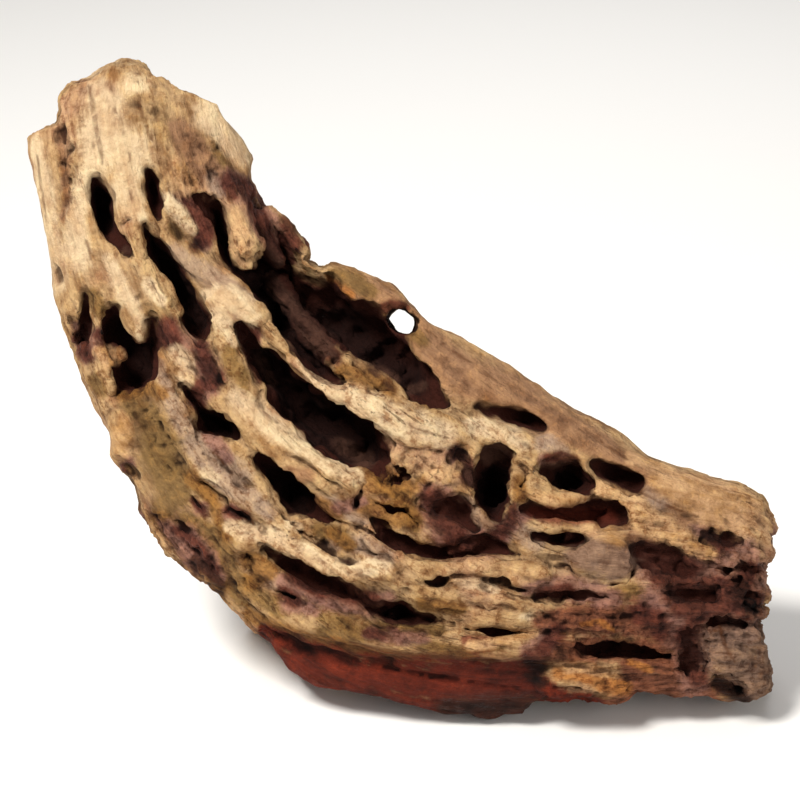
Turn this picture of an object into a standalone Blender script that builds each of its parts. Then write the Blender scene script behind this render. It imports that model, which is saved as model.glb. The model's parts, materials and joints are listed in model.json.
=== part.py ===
"""Aquascape driftwood: one bent, hollowed piece of weathered wood, about 35 cm long.

The piece is modelled on a drawing of its front, in millimetres: u runs right, v up and w out of
the drawing towards the eye. At the end it is tilted back, set on its three low points and put in
metres, +Z up, with its origin at the bottom centre of its box.
"""
import math

import bpy
import bmesh
import numpy as np
from mathutils import Vector, noise
from mathutils.bvhtree import BVHTree

# Driving dimensions, in metres and degrees
LENGTH = 0.350                  # longest straight length, from the top left corner to the foot's end
TILT_BACK = 26.0                # the front leans back by this much
EYE_DISTANCE = 0.835            # the front is drawn as seen from here
FOOT_HOLLOW = 0.008             # height of the underside between the three low points
SOLE_CUT = 0.0022               # how much of each low point is worn flat

# The drawing's own scale
MM = 0.001
DRAWN_LENGTH = 350.1            # the same longest length, in the drawing's millimetres
SCALE = LENGTH / (DRAWN_LENGTH * MM)
AIM_U, AIM_V = 141.3, 120.7     # the point of the drawing straight in front of the eye
GROUND_W = -4.0                 # how far out of the drawing the ground passes at v = 0

# Surface fineness, in millimetres of the drawing
SKIN_SIZE = 2.2
FACE_LIMIT = 9600
WAVE_LENGTH = 22.0
WAVE_HEIGHT = 1.5
HOLLOW_WIDENING = 1.15          # the even skin closes a cut by about this much
THROUGH = 120.0                 # further than the wood reaches in front of the drawing or behind it

# Outline of the front, clockwise from the left corner
OUTLINE = [
    (1, 219.5), (6, 222), (12.5, 224), (13.5, 229), (13, 234), (17.5, 239.5), (25, 241.5), (31, 246.5),
    (38, 248), (44.5, 246.5), (48, 241.5), (57, 237.5), (64.5, 235), (71, 231), (76, 224.5), (81.5, 218),
    (85, 211), (84, 203.5), (87.5, 196), (89.5, 191), (91, 192), (96, 188.5), (100, 186.5), (103.5, 181),
    (106.5, 175), (104.5, 173.5), (110.5, 169.5), (117, 171), (126.5, 168.5), (137.5, 164), (143, 157.5),
    (152, 149), (165, 143), (176.5, 136.5), (190, 128), (205, 117.5), (215.5, 112.5), (226, 106.5),
    (234.5, 99), (246.5, 94.5), (258, 91.5), (269, 88.5), (278, 82.5), (281, 75.5), (283, 72.5),
    (279.5, 69.5), (282.5, 63.5), (277.5, 59), (279, 51), (279.5, 46), (276.5, 45), (279, 40),
    (275.5, 39), (278.5, 28.5), (279.5, 16.5), (280.5, 10), (272, 7), (262, 7.5), (257, 10.5),
    (241, 10.5), (230, 13), (227.5, 9), (221, 7.5), (201.5, 9), (191, 7), (187, 2.5), (181, 2.5),
    (176, 0.5), (168.5, 3), (158.5, 2), (145, 5.5), (130, 10), (110.5, 13), (100, 19.5), (93, 30),
    (79.5, 42), (69, 53), (55, 64.5), (44.5, 79.5), (42, 88.5), (33, 99.5), (32.5, 108.5), (25, 125),
    (17.5, 143.5), (12, 158), (8.5, 179.5), (5, 197.5), (1.5, 213),
]

# Cross sections down the grain: outer edge (u, v), inner edge (u, v), depth in front, depth behind
SECTIONS = [
    ((20, 251), (58, 252), 6, 8),
    ((6, 243), (72, 245), 16, 20),
    ((-1, 229), (81, 233), 24, 27),
    ((0, 210), (87, 215), 30, 33),
    ((4, 184), (96, 194), 33, 38),
    ((10, 154), (108, 178), 33, 42),
    ((21, 121), (126, 171), 33, 45),
    ((35, 90), (147, 160), 33, 48),
    ((55, 60), (168, 144), 34, 51),
    ((82, 34), (190, 130), 36, 50),
    ((113, 9), (213, 116), 37, 46),
    ((154, -1), (236, 101), 37, 42),
    ((196, -1), (259, 94), 35, 38),
    ((240, 2), (278, 88), 31, 34),
    ((287, 3), (289, 78), 25, 27),
]
SECTION_FULLNESS = 2.0          # 2 is an ellipse, more is boxier
STATIONS_PER_SECTION = 5
RING_SIDES = 40
FORWARD_LEAN = 0.12             # how much w gains for each mm of v
LEAN_LEVEL = 100.0              # the height where the middle of the piece lies at w = 0

# Raised forms. Each point is u, v, width, and how far its crest stands out of the skin.
RIDGES = {
    "stub over the hollow": [(77.5, 200, 8, 4), (78.5, 192, 9, 3), (81, 184, 11, 2), (82, 176, 10, 0)],
    "splinter beside the stub": [(85, 190, 5, 1), (90, 182, 5, -1), (95, 173, 4, -3)],
    "bark flap": [(90, 196, 10, -6), (96, 184, 11, -7), (102, 176, 7, -8)],
    "splinter below the slots": [(51, 198, 5, 4), (57, 191, 6, 4), (64, 183, 5, 3)],
    "upper rib": [(51, 181, 6, 3), (60, 174, 9, 4), (70, 166, 11, 4), (80, 160, 12, 5)],
    "bright knob": [(71, 157, 14, 6), (79, 156, 15, 7), (86, 152, 10, 6)],
    "rib below the knob": [(73, 151, 12, 6), (77, 140, 9, 5), (80, 130, 9, 4), (84, 122, 10, 4)],
    "middle rib": [(90, 148, 5, 4), (98, 141, 6, 5), (108, 131, 8, 6), (120, 123, 11, 7),
                   (136, 115, 14, 7), (150, 110, 16, 6), (162, 108, 14, 4)],
    "broad rib": [(74, 123, 12, 4), (84, 114, 14, 5), (95, 104, 15, 6), (108, 96, 15, 6), (122, 90, 13, 5)],
    "grey rib": [(52, 126, 7, 3), (59, 111, 9, 4), (66, 98, 10, 4), (76, 89, 10, 4), (90, 80, 9, 4),
                 (101, 71, 7, 4)],
    "pale rib": [(80, 68, 10, 5), (92, 69, 11, 5), (108, 62, 10, 6), (125, 57, 11, 6), (145, 57, 12, 6),
                 (170, 57, 11, 5), (195, 56, 9, 4)],
    "forked rib": [(131, 71, 8, 4), (140, 63, 8, 5), (152, 50, 10, 4), (168, 48, 10, 4), (186, 43, 8, 3)],
    "lower rib": [(86, 50, 10, 4), (98, 42, 11, 5), (118, 37, 12, 6), (138, 32, 12, 6), (160, 30, 12, 6),
                  (180, 29, 10, 5), (194, 27, 7, 3)],
    "left knob": [(37, 113, 10, 4), (37, 107, 13, 5), (37, 102, 10, 4)],
    "log end": [(198, 16, 12, 4), (210, 16, 13, 6), (222, 13, 10, 7)],
    "grey boulder": [(209, 62, 16, 4), (219, 62, 21, 6), (225, 61, 15, 5)],
    "end knuckle": [(262, 26, 14, 5), (267, 22, 20, 7), (272, 16, 15, 6)],
    "top bulge": [(36, 240, 16, 4), (42, 236, 20, 5), (60, 226, 18, 3)],
}

# Hollows cut into the front. Each point is u, v, width, depth below the skin.
HOLLOWS = {
    "left slot": [(26.5, 202, 5, 14), (28.5, 196, 9, 22), (29.5, 190, 9, 24), (31, 185, 9, 20),
                  (34, 181, 7, 14), (38, 175, 6, 8), (41, 168, 3, 4)],
    "upper slot": [(46.5, 206, 4, 10), (48, 200, 7, 18), (49, 195, 6, 14), (50, 189, 3, 5)],
    "long slot": [(45.5, 186, 4, 10), (47, 180, 7, 20), (50, 174, 9, 26), (54, 167, 12, 30),
                  (60, 160, 12, 32), (64, 151, 11, 32), (67, 145, 9, 24), (69, 141, 4, 10)],
    "upper channel": [(66, 196, 6, 8), (71, 190, 8, 18), (74, 183, 8, 24), (77, 176, 10, 30),
                      (84, 168, 16, 34), (93, 163, 18, 36), (100, 158, 14, 30)],
    "wide channel": [(90, 168, 16, 34), (102, 162, 19, 36), (113, 153, 20, 37), (122, 146, 22, 38),
                     (131, 139, 21, 36), (140, 132, 19, 32), (147, 127, 15, 26), (152, 122, 9, 14),
                     (157, 119.5, 4, 6)],
    "narrow channel": [(87, 163, 12, 32), (94, 152, 12, 34), (101, 144, 9, 30), (107, 137, 8, 26),
                       (113, 131, 6, 18), (119, 128, 4, 8)],
    "second channel": [(83, 147, 7, 10), (87, 141, 10, 18), (92, 134, 12, 28), (99, 126, 14, 32),
                       (106, 118, 16, 32), (116, 110, 18, 32), (125, 104, 18, 28), (131, 99, 14, 20),
                       (134, 94, 7, 8)],
    "edge slot": [(22, 160, 4, 8), (22.5, 153, 4, 12), (22, 146, 6, 16), (21, 141, 6, 14)],
    "side pit": [(33, 152, 8, 16), (36, 145, 13, 26), (41, 139, 15, 30), (43, 134, 13, 26),
                 (38, 128, 12, 18), (35, 124, 7, 8)],
    "side pit's arm": [(47, 150, 5, 12), (47.5, 143, 7, 20), (45, 136, 9, 24)],
    "grey hollow": [(60, 124, 5, 10), (64, 118, 6, 14), (68, 113, 9, 24), (73, 110, 10, 26),
                    (78, 107.5, 7, 16)],
    "oval hollow": [(89, 98, 7, 12), (94, 92, 10, 22), (99, 87, 12, 28), (104, 82, 11, 26),
                    (109, 78, 7, 14), (119, 75, 4, 5)],
    "long groove": [(91, 63, 4, 5), (98, 58.8, 6, 9), (107, 55, 7, 11), (118, 51, 8, 11), (126, 47, 7, 9)],
    "low hollow": [(128, 43, 4, 6), (134, 41.3, 7, 16), (141, 40.3, 8, 20), (148, 38.8, 6, 14),
                   (157, 37, 4, 6)],
    "curved groove": [(132, 75, 4, 5), (137, 69, 6, 10), (145, 65.5, 6, 11), (156, 63, 5, 9),
                      (168, 65, 7, 10), (176, 65, 7, 9), (185, 63, 4, 5)],
    "brown recess": [(157, 85, 12, 7), (159, 78, 15, 10), (160, 71, 13, 8)],
    "big pit": [(177, 103, 13, 12), (177, 97, 17, 26), (176.5, 90, 17, 34), (176, 84, 14, 32),
                (175.5, 78, 10, 20)],
    "big pit's shoulder": [(163, 101, 9, 7), (168, 96, 12, 10), (170, 90, 10, 12)],
    "round hole": [(196, 96, 9, 10), (200, 93, 14, 22), (206, 91, 13, 26), (211, 89, 9, 16)],
    "upper right slot": [(214, 97, 4, 6), (218, 95, 6, 14), (224, 92, 7, 18), (230, 89.5, 7, 15)],
    "top right slot": [(171, 117.5, 5, 5), (179, 116, 6, 10), (187, 113.5, 7, 17), (194, 110.7, 6, 13)],
    "red hollow": [(190, 80, 5, 6), (199, 77.5, 8, 11), (208, 77.5, 9, 13), (217, 78, 11, 15),
                   (225, 76.7, 8, 11)],
    "slot under it": [(189, 74, 4, 6), (196, 70, 5, 12), (202, 68.8, 6, 16), (208, 69, 5, 9)],
    "long low slot": [(209, 26.5, 5, 8), (217, 26, 7, 17), (225, 25.4, 7, 18), (234, 24.8, 5, 12),
                      (242, 24, 4, 5)],
    "low right groove": [(193, 46.8, 4, 5), (205, 46.8, 5, 7), (220, 45.7, 4, 4)],
    "dark recess": [(231, 61, 12, 6), (240, 59, 15, 8), (250, 55, 12, 7)],
    "dark pocket": [(243, 48, 7, 7), (250, 47, 9, 10), (259, 47.5, 7, 7)],
    "end cleft": [(252, 32, 9, 9), (251.5, 25, 9, 11), (251.5, 18, 7, 7)],
    "end groove": [(253, 35, 5, 6), (262, 37, 5, 8), (270, 36, 4, 4)],
    "end pit": [(263.5, 14.5, 7, 9), (268, 11.5, 6, 8)],
    "end hole": [(271, 58.5, 6, 9), (277, 58, 5, 8)],
}

# Forms left standing inside the hollows. Each point is u, v, width, height from the skin.
INNER_FORMS = {
    "hidden rib": [(92, 167, 8, -17), (99, 156, 8, -15), (106, 146, 8, -13), (114, 138, 8, -10),
                   (123, 132, 7, -7), (134, 127, 6, -4)],
    "hanging stub": [(77.5, 197, 8, -3), (79, 190, 9, 0), (81.5, 183, 11.5, 1), (82, 177, 11, 0),
                     (82, 174, 7, -2)],
    "hanging splinter": [(86, 188, 6, -5), (91, 180, 5, -7), (95, 173, 4, -8)],
    "pit tooth": [(40, 154, 8, 0), (42.5, 148, 6, -1), (43.5, 144, 3, -2)],
    "pit knob": [(24, 139, 5, -2), (30, 138, 7, -2), (35, 137.5, 6, -3)],
}

# Round bores that run right through: entry (u, v), exit (u, v), half width along and across, turn
THROUGH_HOLE = ((142, 150.2), (142, 150.2), 5.6, 4.2, -38.0)
END_HOLE = ((273.5, 57.8), (273.5, 57.8), 1.4, 2.0, 0.0)

# Flutes and hollows of the back: u, v, width, depth below the skin
BACK_HOLLOWS = {
    "back slot": [(30, 205, 5, 6), (36, 190, 8, 14), (43, 172, 9, 18), (52, 155, 7, 10)],
    "back channel": [(62, 190, 6, 6), (72, 172, 10, 16), (86, 153, 13, 22), (104, 134, 13, 20),
                     (124, 116, 9, 9)],
    "back groove": [(52, 120, 6, 5), (66, 101, 9, 12), (84, 84, 10, 14), (106, 68, 8, 8)],
    "back oval": [(142, 88, 8, 8), (152, 80, 13, 20), (163, 74, 12, 18), (173, 70, 6, 7)],
    "back upper slot": [(150, 128, 5, 6), (164, 119, 8, 13), (180, 110, 8, 13), (196, 103, 5, 5)],
    "back low slot": [(196, 52, 5, 6), (212, 49, 9, 14), (230, 47, 9, 13), (246, 46, 5, 6)],
    "back right pit": [(214, 84, 6, 7), (224, 80, 9, 14), (235, 77, 6, 7)],
}
BACK_RIDGES = {
    "back rib": [(50, 205, 14, 3), (58, 180, 16, 5), (70, 150, 16, 5), (92, 118, 17, 5), (122, 92, 16, 4)],
    "back low rib": [(60, 78, 12, 2), (90, 54, 16, 5), (130, 42, 17, 5), (175, 34, 15, 4), (220, 30, 12, 3)],
    "back upper rib": [(126, 140, 12, 3), (156, 104, 15, 5), (196, 84, 15, 5), (244, 68, 12, 3)],
}

# Low points under the piece: u, v, w of the sole, and the half width of the lump above it
FEET = {
    "front foot": (176, 2.5, -10.0, 10.0),
    "right foot": (256, 14, -33.0, 10.0),
    "back foot": (99, 30, -65.5, 12.0),
}
HEEL = [(165, 60, -33, 20), (138, 57, -38, 22), (116, 49, -44, 21), (101, 38, -52, 17), (97, 31, -60, 11)]

SWEEP_SIDES = 14
SWEEP_PIECES = 4                # rings from one given point of a form to the next
ROUND_END = [(0.7, 0.7), (0.95, 0.3)]   # how far past its last point a form goes, and its size there
RIDGE_DEPTH = 0.75              # a ridge is this deep for its width, and at least as deep as the next
LEAST_RIDGE_DEPTH = 5.0
CUTTER_RISE = 0.4               # a cutter stands out of the skin by this part of its depth, and
CUTTER_CLEARANCE = 4.0          # by this much more
LUMP_SPREAD = 1.6               # the underside rises around a sole over this many half widths
UNDERSIDE_SOFTNESS = 0.003      # in metres


def smooth_path(points, pieces):
    """Points along a smooth curve through the given ones, with every number smoothed alike."""
    rows = [np.array(p, dtype=float) for p in points]
    rows = [2 * rows[0] - rows[1]] + rows + [2 * rows[-1] - rows[-2]]
    path = []
    for a, b, c, d in zip(rows, rows[1:], rows[2:], rows[3:]):
        for step in range(pieces):
            t = step / pieces
            path.append(0.5 * (2 * b + (c - a) * t + (2 * a - 5 * b + 4 * c - d) * t ** 2
                               + (3 * b - a - 3 * c + d) * t ** 3))
    path.append(rows[-2])
    return path


def new_object(name, bm):
    """An object in the scene from a finished bmesh, with its faces turned out."""
    bmesh.ops.recalc_face_normals(bm, faces=bm.faces)
    mesh = bpy.data.meshes.new(name)
    bm.to_mesh(mesh)
    bm.free()
    obj = bpy.data.objects.new(name, mesh)
    bpy.context.collection.objects.link(obj)
    return obj


def skin_rings(name, rings):
    """A closed body from a row of rings with the same number of points."""
    bm = bmesh.new()
    loops = [[bm.verts.new(p) for p in ring] for ring in rings]
    for ring, following in zip(loops, loops[1:]):
        for i, vert in enumerate(ring):
            j = (i + 1) % len(ring)
            bm.faces.new((vert, ring[j], following[j], following[i]))
    bm.faces.new(loops[0])
    bm.faces.new(loops[-1])
    return new_object(name, bm)


def signed_power(value, power):
    return math.copysign(abs(value) ** power, value)


def middle_w(v):
    """The w of the piece's middle at this height."""
    return FORWARD_LEAN * (v - LEAN_LEVEL)


def make_body():
    """The bent log, lofted down the grain through the cross sections."""
    rows = [(o[0], o[1], i[0], i[1], front, back) for o, i, front, back in SECTIONS]
    rings = []
    for ou, ov, iu, iv, front, back in smooth_path(rows, STATIONS_PER_SECTION):
        ring = []
        for side in range(RING_SIDES):
            turn = 2 * math.pi * side / RING_SIDES
            across = signed_power(math.cos(turn), 2 / SECTION_FULLNESS)
            out = signed_power(math.sin(turn), 2 / SECTION_FULLNESS)
            u = (ou + iu) / 2 + across * (iu - ou) / 2
            v = (ov + iv) / 2 + across * (iv - ov) / 2
            ring.append((u, v, middle_w(v) + out * (front if out > 0 else back)))
        rings.append(ring)
    return skin_rings("body", rings)


def make_outline_block():
    """A tall block with the outline of the front, which trims the body."""
    bm = bmesh.new()
    face = bm.faces.new([bm.verts.new((u, v, -THROUGH)) for u, v in OUTLINE])
    sides = bmesh.ops.extrude_face_region(bm, geom=[face])
    top = [g for g in sides["geom"] if isinstance(g, bmesh.types.BMVert)]
    bmesh.ops.translate(bm, verts=top, vec=(0, 0, 2 * THROUGH))
    return new_object("outline block", bm)


def surface_finder(obj, side):
    """A function that gives the w of the skin at a place of the drawing, from the front or the back."""
    tree = BVHTree.FromObject(obj, bpy.context.evaluated_depsgraph_get())

    def skin_w(u, v):
        hit = tree.ray_cast(Vector((u, v, THROUGH * side)), Vector((0, 0, -side)))[0]
        return hit.z if hit else middle_w(v)

    return skin_w


def sweep(name, path):
    """A closed form along a path of (u, v, w, half width, half depth), with rounded ends."""
    rows = smooth_path(path, SWEEP_PIECES)
    rings = []
    for k, (u, v, w, half_width, half_depth) in enumerate(rows):
        before = rows[max(k - 1, 0)]
        after = rows[min(k + 1, len(rows) - 1)]
        along = Vector((after[0] - before[0], after[1] - before[1], 0)).normalized()
        across = Vector((-along.y, along.x, 0))
        ends = [(0, 1)]
        if k == 0:
            ends = [(-reach, size) for reach, size in reversed(ROUND_END)] + ends
        if k == len(rows) - 1:
            ends = ends + ROUND_END
        for shift, size in ends:
            centre = Vector((u, v, w)) + along * (shift * half_width)
            ring = []
            for side in range(SWEEP_SIDES):
                turn = 2 * math.pi * side / SWEEP_SIDES
                ring.append(centre + across * (math.cos(turn) * half_width * size)
                            + Vector((0, 0, math.sin(turn) * half_depth * size)))
            rings.append(ring)
    return skin_rings(name, rings)


def raised_form(name, points, skin_w, side):
    """A ridge whose crest stands the given height out of the skin, sunk well into the wood."""
    path = []
    for u, v, width, height in points:
        half_depth = max(width * RIDGE_DEPTH, LEAST_RIDGE_DEPTH)
        path.append((u, v, skin_w(u, v) + side * (height - half_depth), width / 2 + 1, half_depth))
    return sweep(name, path)


def hollow_form(name, points, skin_w, side):
    """A cutter as wide as given at the skin and as deep as given below it."""
    path = []
    for u, v, width, depth in points:
        rise = CUTTER_RISE * depth + CUTTER_CLEARANCE
        half_depth = (depth + rise) / 2
        middle = skin_w(u, v) + side * (rise - half_depth)
        path.append((u, v, middle, width / 2 * HOLLOW_WIDENING, half_depth))
    return sweep(name, path)


def bore(name, entry, leave, half_long, half_short, turn):
    """A straight oval cutter that runs right through, front to back."""
    long_way = Vector((math.cos(math.radians(turn)), math.sin(math.radians(turn)), 0))
    short_way = Vector((-long_way.y, long_way.x, 0))
    rings = []
    for (u, v), w in ((leave, -THROUGH), (entry, THROUGH)):
        ring = []
        for side in range(SWEEP_SIDES):
            angle = 2 * math.pi * side / SWEEP_SIDES
            ring.append(Vector((u, v, w)) + long_way * (math.cos(angle) * half_long)
                        + short_way * (math.sin(angle) * half_short))
        rings.append(ring)
    return skin_rings(name, rings)


def apply_modifiers(obj):
    """Swap the object's mesh for its evaluated one and drop the modifiers."""
    evaluated = obj.evaluated_get(bpy.context.evaluated_depsgraph_get())
    mesh = bpy.data.meshes.new_from_object(evaluated)
    obj.modifiers.clear()
    obj.data = mesh


def combine(target, others, operation):
    """One Boolean of the target with all the others, which are then removed."""
    group = bpy.data.collections.new("operands")
    for other in others:
        group.objects.link(other)
    modifier = target.modifiers.new("combine", "BOOLEAN")
    modifier.operation = operation
    modifier.operand_type = "COLLECTION"
    modifier.collection = group
    modifier.solver = "EXACT"
    apply_modifiers(target)
    for other in others:
        bpy.data.objects.remove(other)
    bpy.data.collections.remove(group)


def remesh(obj, size, smoothing):
    """Turn the body into one even skin and soften its edges."""
    skin = obj.modifiers.new("even skin", "REMESH")
    skin.mode = "VOXEL"
    skin.voxel_size = size
    soften = obj.modifiers.new("soften", "SMOOTH")
    soften.factor = 0.5
    soften.iterations = smoothing
    apply_modifiers(obj)


def place(points):
    """Drawing millimetres to metres: widen away from the eye, tilt back, set the ground at z = 0."""
    u, v, w = (points * SCALE * MM).T
    spread = 1 - w / EYE_DISTANCE
    right = (u - AIM_U * SCALE * MM) * spread
    up = (v - AIM_V * SCALE * MM) * spread
    tilt = math.radians(TILT_BACK)
    ground_w = GROUND_W * SCALE * MM
    ground_up = -AIM_V * SCALE * MM * (1 - ground_w / EYE_DISTANCE)
    ground = ground_up * math.cos(tilt) + ground_w * math.sin(tilt)
    return np.column_stack((right, up * math.sin(tilt) - w * math.cos(tilt),
                            up * math.cos(tilt) + w * math.sin(tilt) - ground))


def raise_underside(points):
    """Lift what lies near the ground to a low arch between the feet."""
    soles = place(np.array([foot[:3] for foot in FEET.values()], dtype=float))
    widths = np.array([foot[3] for foot in FEET.values()]) * MM * LUMP_SPREAD
    near = np.zeros(len(points))
    for sole, width in zip(soles, widths):
        distance = np.hypot(points[:, 0] - sole[0], points[:, 1] - sole[1])
        near = np.maximum(near, np.exp(-(distance / width) ** 2))
    floor = FOOT_HOLLOW * (1 - near) - SOLE_CUT
    above = points[:, 2] - floor
    points[:, 2] = floor + 0.5 * (above + np.sqrt(above ** 2 + UNDERSIDE_SOFTNESS ** 2))
    return points


def set_on_ground(obj):
    """Stand the piece up, cut its three soles flat and bring its box's bottom centre to the origin."""
    count = len(obj.data.vertices)
    points = np.empty(count * 3)
    obj.data.vertices.foreach_get("co", points)
    points = raise_underside(place(points.reshape(-1, 3)))
    obj.data.vertices.foreach_set("co", points.ravel())
    bm = bmesh.new()
    bm.from_mesh(obj.data)
    cut = bmesh.ops.bisect_plane(bm, geom=bm.verts[:] + bm.edges[:] + bm.faces[:], dist=1e-7,
                                 plane_co=(0, 0, 0), plane_no=(0, 0, 1), clear_inner=True)
    rim = [g for g in cut["geom_cut"] if isinstance(g, bmesh.types.BMEdge)]
    bmesh.ops.holes_fill(bm, edges=rim, sides=0)
    bmesh.ops.triangulate(bm, faces=bm.faces)
    low = Vector([min(v.co[k] for v in bm.verts) for k in range(3)])
    high = Vector([max(v.co[k] for v in bm.verts) for k in range(3)])
    bmesh.ops.translate(bm, verts=bm.verts, vec=(-(low.x + high.x) / 2, -(low.y + high.y) / 2, -low.z))
    bm.to_mesh(obj.data)
    bm.free()


def roughen(obj):
    """Push the skin in and out along its normals by a slow noise, so that no stretch is ruled."""
    bm = bmesh.new()
    bm.from_mesh(obj.data)
    for vert in bm.verts:
        wave = noise.fractal(vert.co / WAVE_LENGTH, 0.6, 2.1, 3)
        vert.co += vert.normal * (wave * WAVE_HEIGHT)
    bm.to_mesh(obj.data)
    bm.free()


def thin_out(obj, limit):
    """Collapse the flattest edges until the face count is under the limit."""
    triangles = sum(len(face.vertices) - 2 for face in obj.data.polygons)
    modifier = obj.modifiers.new("thin out", "DECIMATE")
    modifier.ratio = limit / triangles
    apply_modifiers(obj)


def weathered_wood():
    """Tan wood, dull and dry."""
    material = bpy.data.materials.new("weathered wood")
    material.use_nodes = True
    shader = material.node_tree.nodes["Principled BSDF"]
    shader.inputs["Base Color"].default_value = (0.36, 0.21, 0.10, 1)
    shader.inputs["Roughness"].default_value = 0.8
    shader.inputs["Metallic"].default_value = 0.0
    return material


def make_driftwood():
    body = make_body()
    front = surface_finder(body, 1)
    back = surface_finder(body, -1)
    raised = [raised_form(name, points, front, 1) for name, points in RIDGES.items()]
    raised += [raised_form(name, points, back, -1) for name, points in BACK_RIDGES.items()]
    raised.append(sweep("heel", [(u, v, w, half, half) for u, v, w, half in HEEL]))
    combine(body, raised, "UNION")
    combine(body, [make_outline_block()], "INTERSECT")
    cutters = [hollow_form(name, points, front, 1) for name, points in HOLLOWS.items()]
    cutters += [hollow_form(name, points, back, -1) for name, points in BACK_HOLLOWS.items()]
    cutters.append(bore("through hole", *THROUGH_HOLE))
    cutters.append(bore("end hole", *END_HOLE))
    combine(body, cutters, "DIFFERENCE")
    combine(body, [raised_form(name, points, front, 1) for name, points in INNER_FORMS.items()], "UNION")
    remesh(body, SKIN_SIZE, 2)
    roughen(body)
    thin_out(body, FACE_LIMIT)
    set_on_ground(body)
    body.name = "driftwood"
    body.data.name = "driftwood"
    body.data.materials.clear()
    body.data.materials.append(weathered_wood())
    body.data.shade_smooth()
    return body


for leftover in list(bpy.data.objects):
    bpy.data.objects.remove(leftover)
make_driftwood()
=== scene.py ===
"""Aquascape driftwood, dressed: one bent, hollowed piece of weathered wood, about 35 cm long.

The form is modelled on a drawing of its front, in millimetres: u runs right, v up and w out of
the drawing towards the eye. It is then tilted back, set on its three soles in metres, and fitted
to the box of the solid model that it replaces.
"""

import json
import math

import bpy
import bmesh
import numpy as np
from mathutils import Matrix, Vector
from mathutils.bvhtree import BVHTree

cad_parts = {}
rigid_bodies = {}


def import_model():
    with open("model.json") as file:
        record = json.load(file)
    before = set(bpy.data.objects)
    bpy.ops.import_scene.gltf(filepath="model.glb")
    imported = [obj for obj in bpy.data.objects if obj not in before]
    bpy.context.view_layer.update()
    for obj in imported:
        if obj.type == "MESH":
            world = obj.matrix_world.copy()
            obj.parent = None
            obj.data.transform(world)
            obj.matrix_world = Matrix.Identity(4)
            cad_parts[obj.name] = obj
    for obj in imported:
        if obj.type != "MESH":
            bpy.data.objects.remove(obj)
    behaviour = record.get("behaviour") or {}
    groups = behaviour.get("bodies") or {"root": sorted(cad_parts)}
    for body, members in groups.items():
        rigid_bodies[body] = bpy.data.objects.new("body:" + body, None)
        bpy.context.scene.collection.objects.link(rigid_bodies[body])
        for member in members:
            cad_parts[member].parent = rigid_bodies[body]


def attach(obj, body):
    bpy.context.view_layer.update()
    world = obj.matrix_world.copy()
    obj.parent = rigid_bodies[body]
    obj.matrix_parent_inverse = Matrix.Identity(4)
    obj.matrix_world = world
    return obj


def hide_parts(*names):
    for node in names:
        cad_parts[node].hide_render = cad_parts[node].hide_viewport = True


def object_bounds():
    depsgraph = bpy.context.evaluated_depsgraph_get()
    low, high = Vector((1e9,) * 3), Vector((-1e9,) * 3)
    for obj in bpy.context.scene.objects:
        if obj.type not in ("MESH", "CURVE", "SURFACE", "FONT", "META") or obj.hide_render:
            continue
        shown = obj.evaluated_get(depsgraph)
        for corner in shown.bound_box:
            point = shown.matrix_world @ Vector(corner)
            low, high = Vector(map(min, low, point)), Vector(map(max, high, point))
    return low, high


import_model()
SOLID_BOX = [np.array(corner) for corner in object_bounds()]

# Driving dimensions, in metres and degrees
LENGTH = 0.350                  # longest straight length, from the top left corner to the foot's end
TILT_BACK = 26.0                # the front leans back by this much
EYE_DISTANCE = 0.835            # the front is drawn as seen from here
FOOT_HOLLOW = 0.008             # height of the underside between the three low points
SOLE_CUT = 0.0022               # how much of each low point is worn flat

# The drawing's own scale
MM = 0.001
DRAWN_LENGTH = 350.1            # the same longest length, in the drawing's millimetres
SCALE = LENGTH / (DRAWN_LENGTH * MM)
AIM_U, AIM_V = 141.3, 120.7     # the point of the drawing straight in front of the eye
GROUND_W = -4.0                 # how far out of the drawing the ground passes at v = 0

# Cutters, in millimetres of the drawing
HOLLOW_WIDENING = 1.15          # the even skin closes a cut, so its cutter is wider by this factor
THROUGH = 120.0                 # further than the wood reaches in front of the drawing or behind it

# Outline of the front, clockwise from the left corner
OUTLINE = [
    (1, 219.5), (6, 222), (12.5, 224), (13.5, 229), (13, 234), (17.5, 239.5), (25, 241.5), (31, 246.5),
    (38, 248), (44.5, 246.5), (48, 241.5), (57, 237.5), (64.5, 235), (71, 231), (76, 224.5), (81.5, 218),
    (85, 211), (84, 203.5), (87.5, 196), (89.5, 191), (91, 192), (96, 188.5), (100, 186.5), (103.5, 181),
    (106.5, 175), (104.5, 173.5), (110.5, 169.5), (117, 171), (126.5, 168.5), (137.5, 164), (143, 157.5),
    (152, 149), (165, 143), (176.5, 136.5), (190, 128), (205, 117.5), (215.5, 112.5), (226, 106.5),
    (234.5, 99), (246.5, 94.5), (258, 91.5), (269, 88.5), (278, 82.5), (281, 75.5), (283, 72.5),
    (279.5, 69.5), (282.5, 63.5), (277.5, 59), (279, 51), (279.5, 46), (276.5, 45), (279, 40),
    (275.5, 39), (278.5, 28.5), (279.5, 16.5), (280.5, 10), (272, 7), (262, 7.5), (257, 10.5),
    (241, 10.5), (230, 13), (227.5, 9), (221, 7.5), (201.5, 9), (191, 7), (187, 2.5), (181, 2.5),
    (176, 0.5), (168.5, 3), (158.5, 2), (145, 5.5), (130, 10), (110.5, 13), (100, 19.5), (93, 30),
    (79.5, 42), (69, 53), (55, 64.5), (44.5, 79.5), (42, 88.5), (33, 99.5), (32.5, 108.5), (25, 125),
    (17.5, 143.5), (12, 158), (8.5, 179.5), (5, 197.5), (1.5, 213),
]

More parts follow.
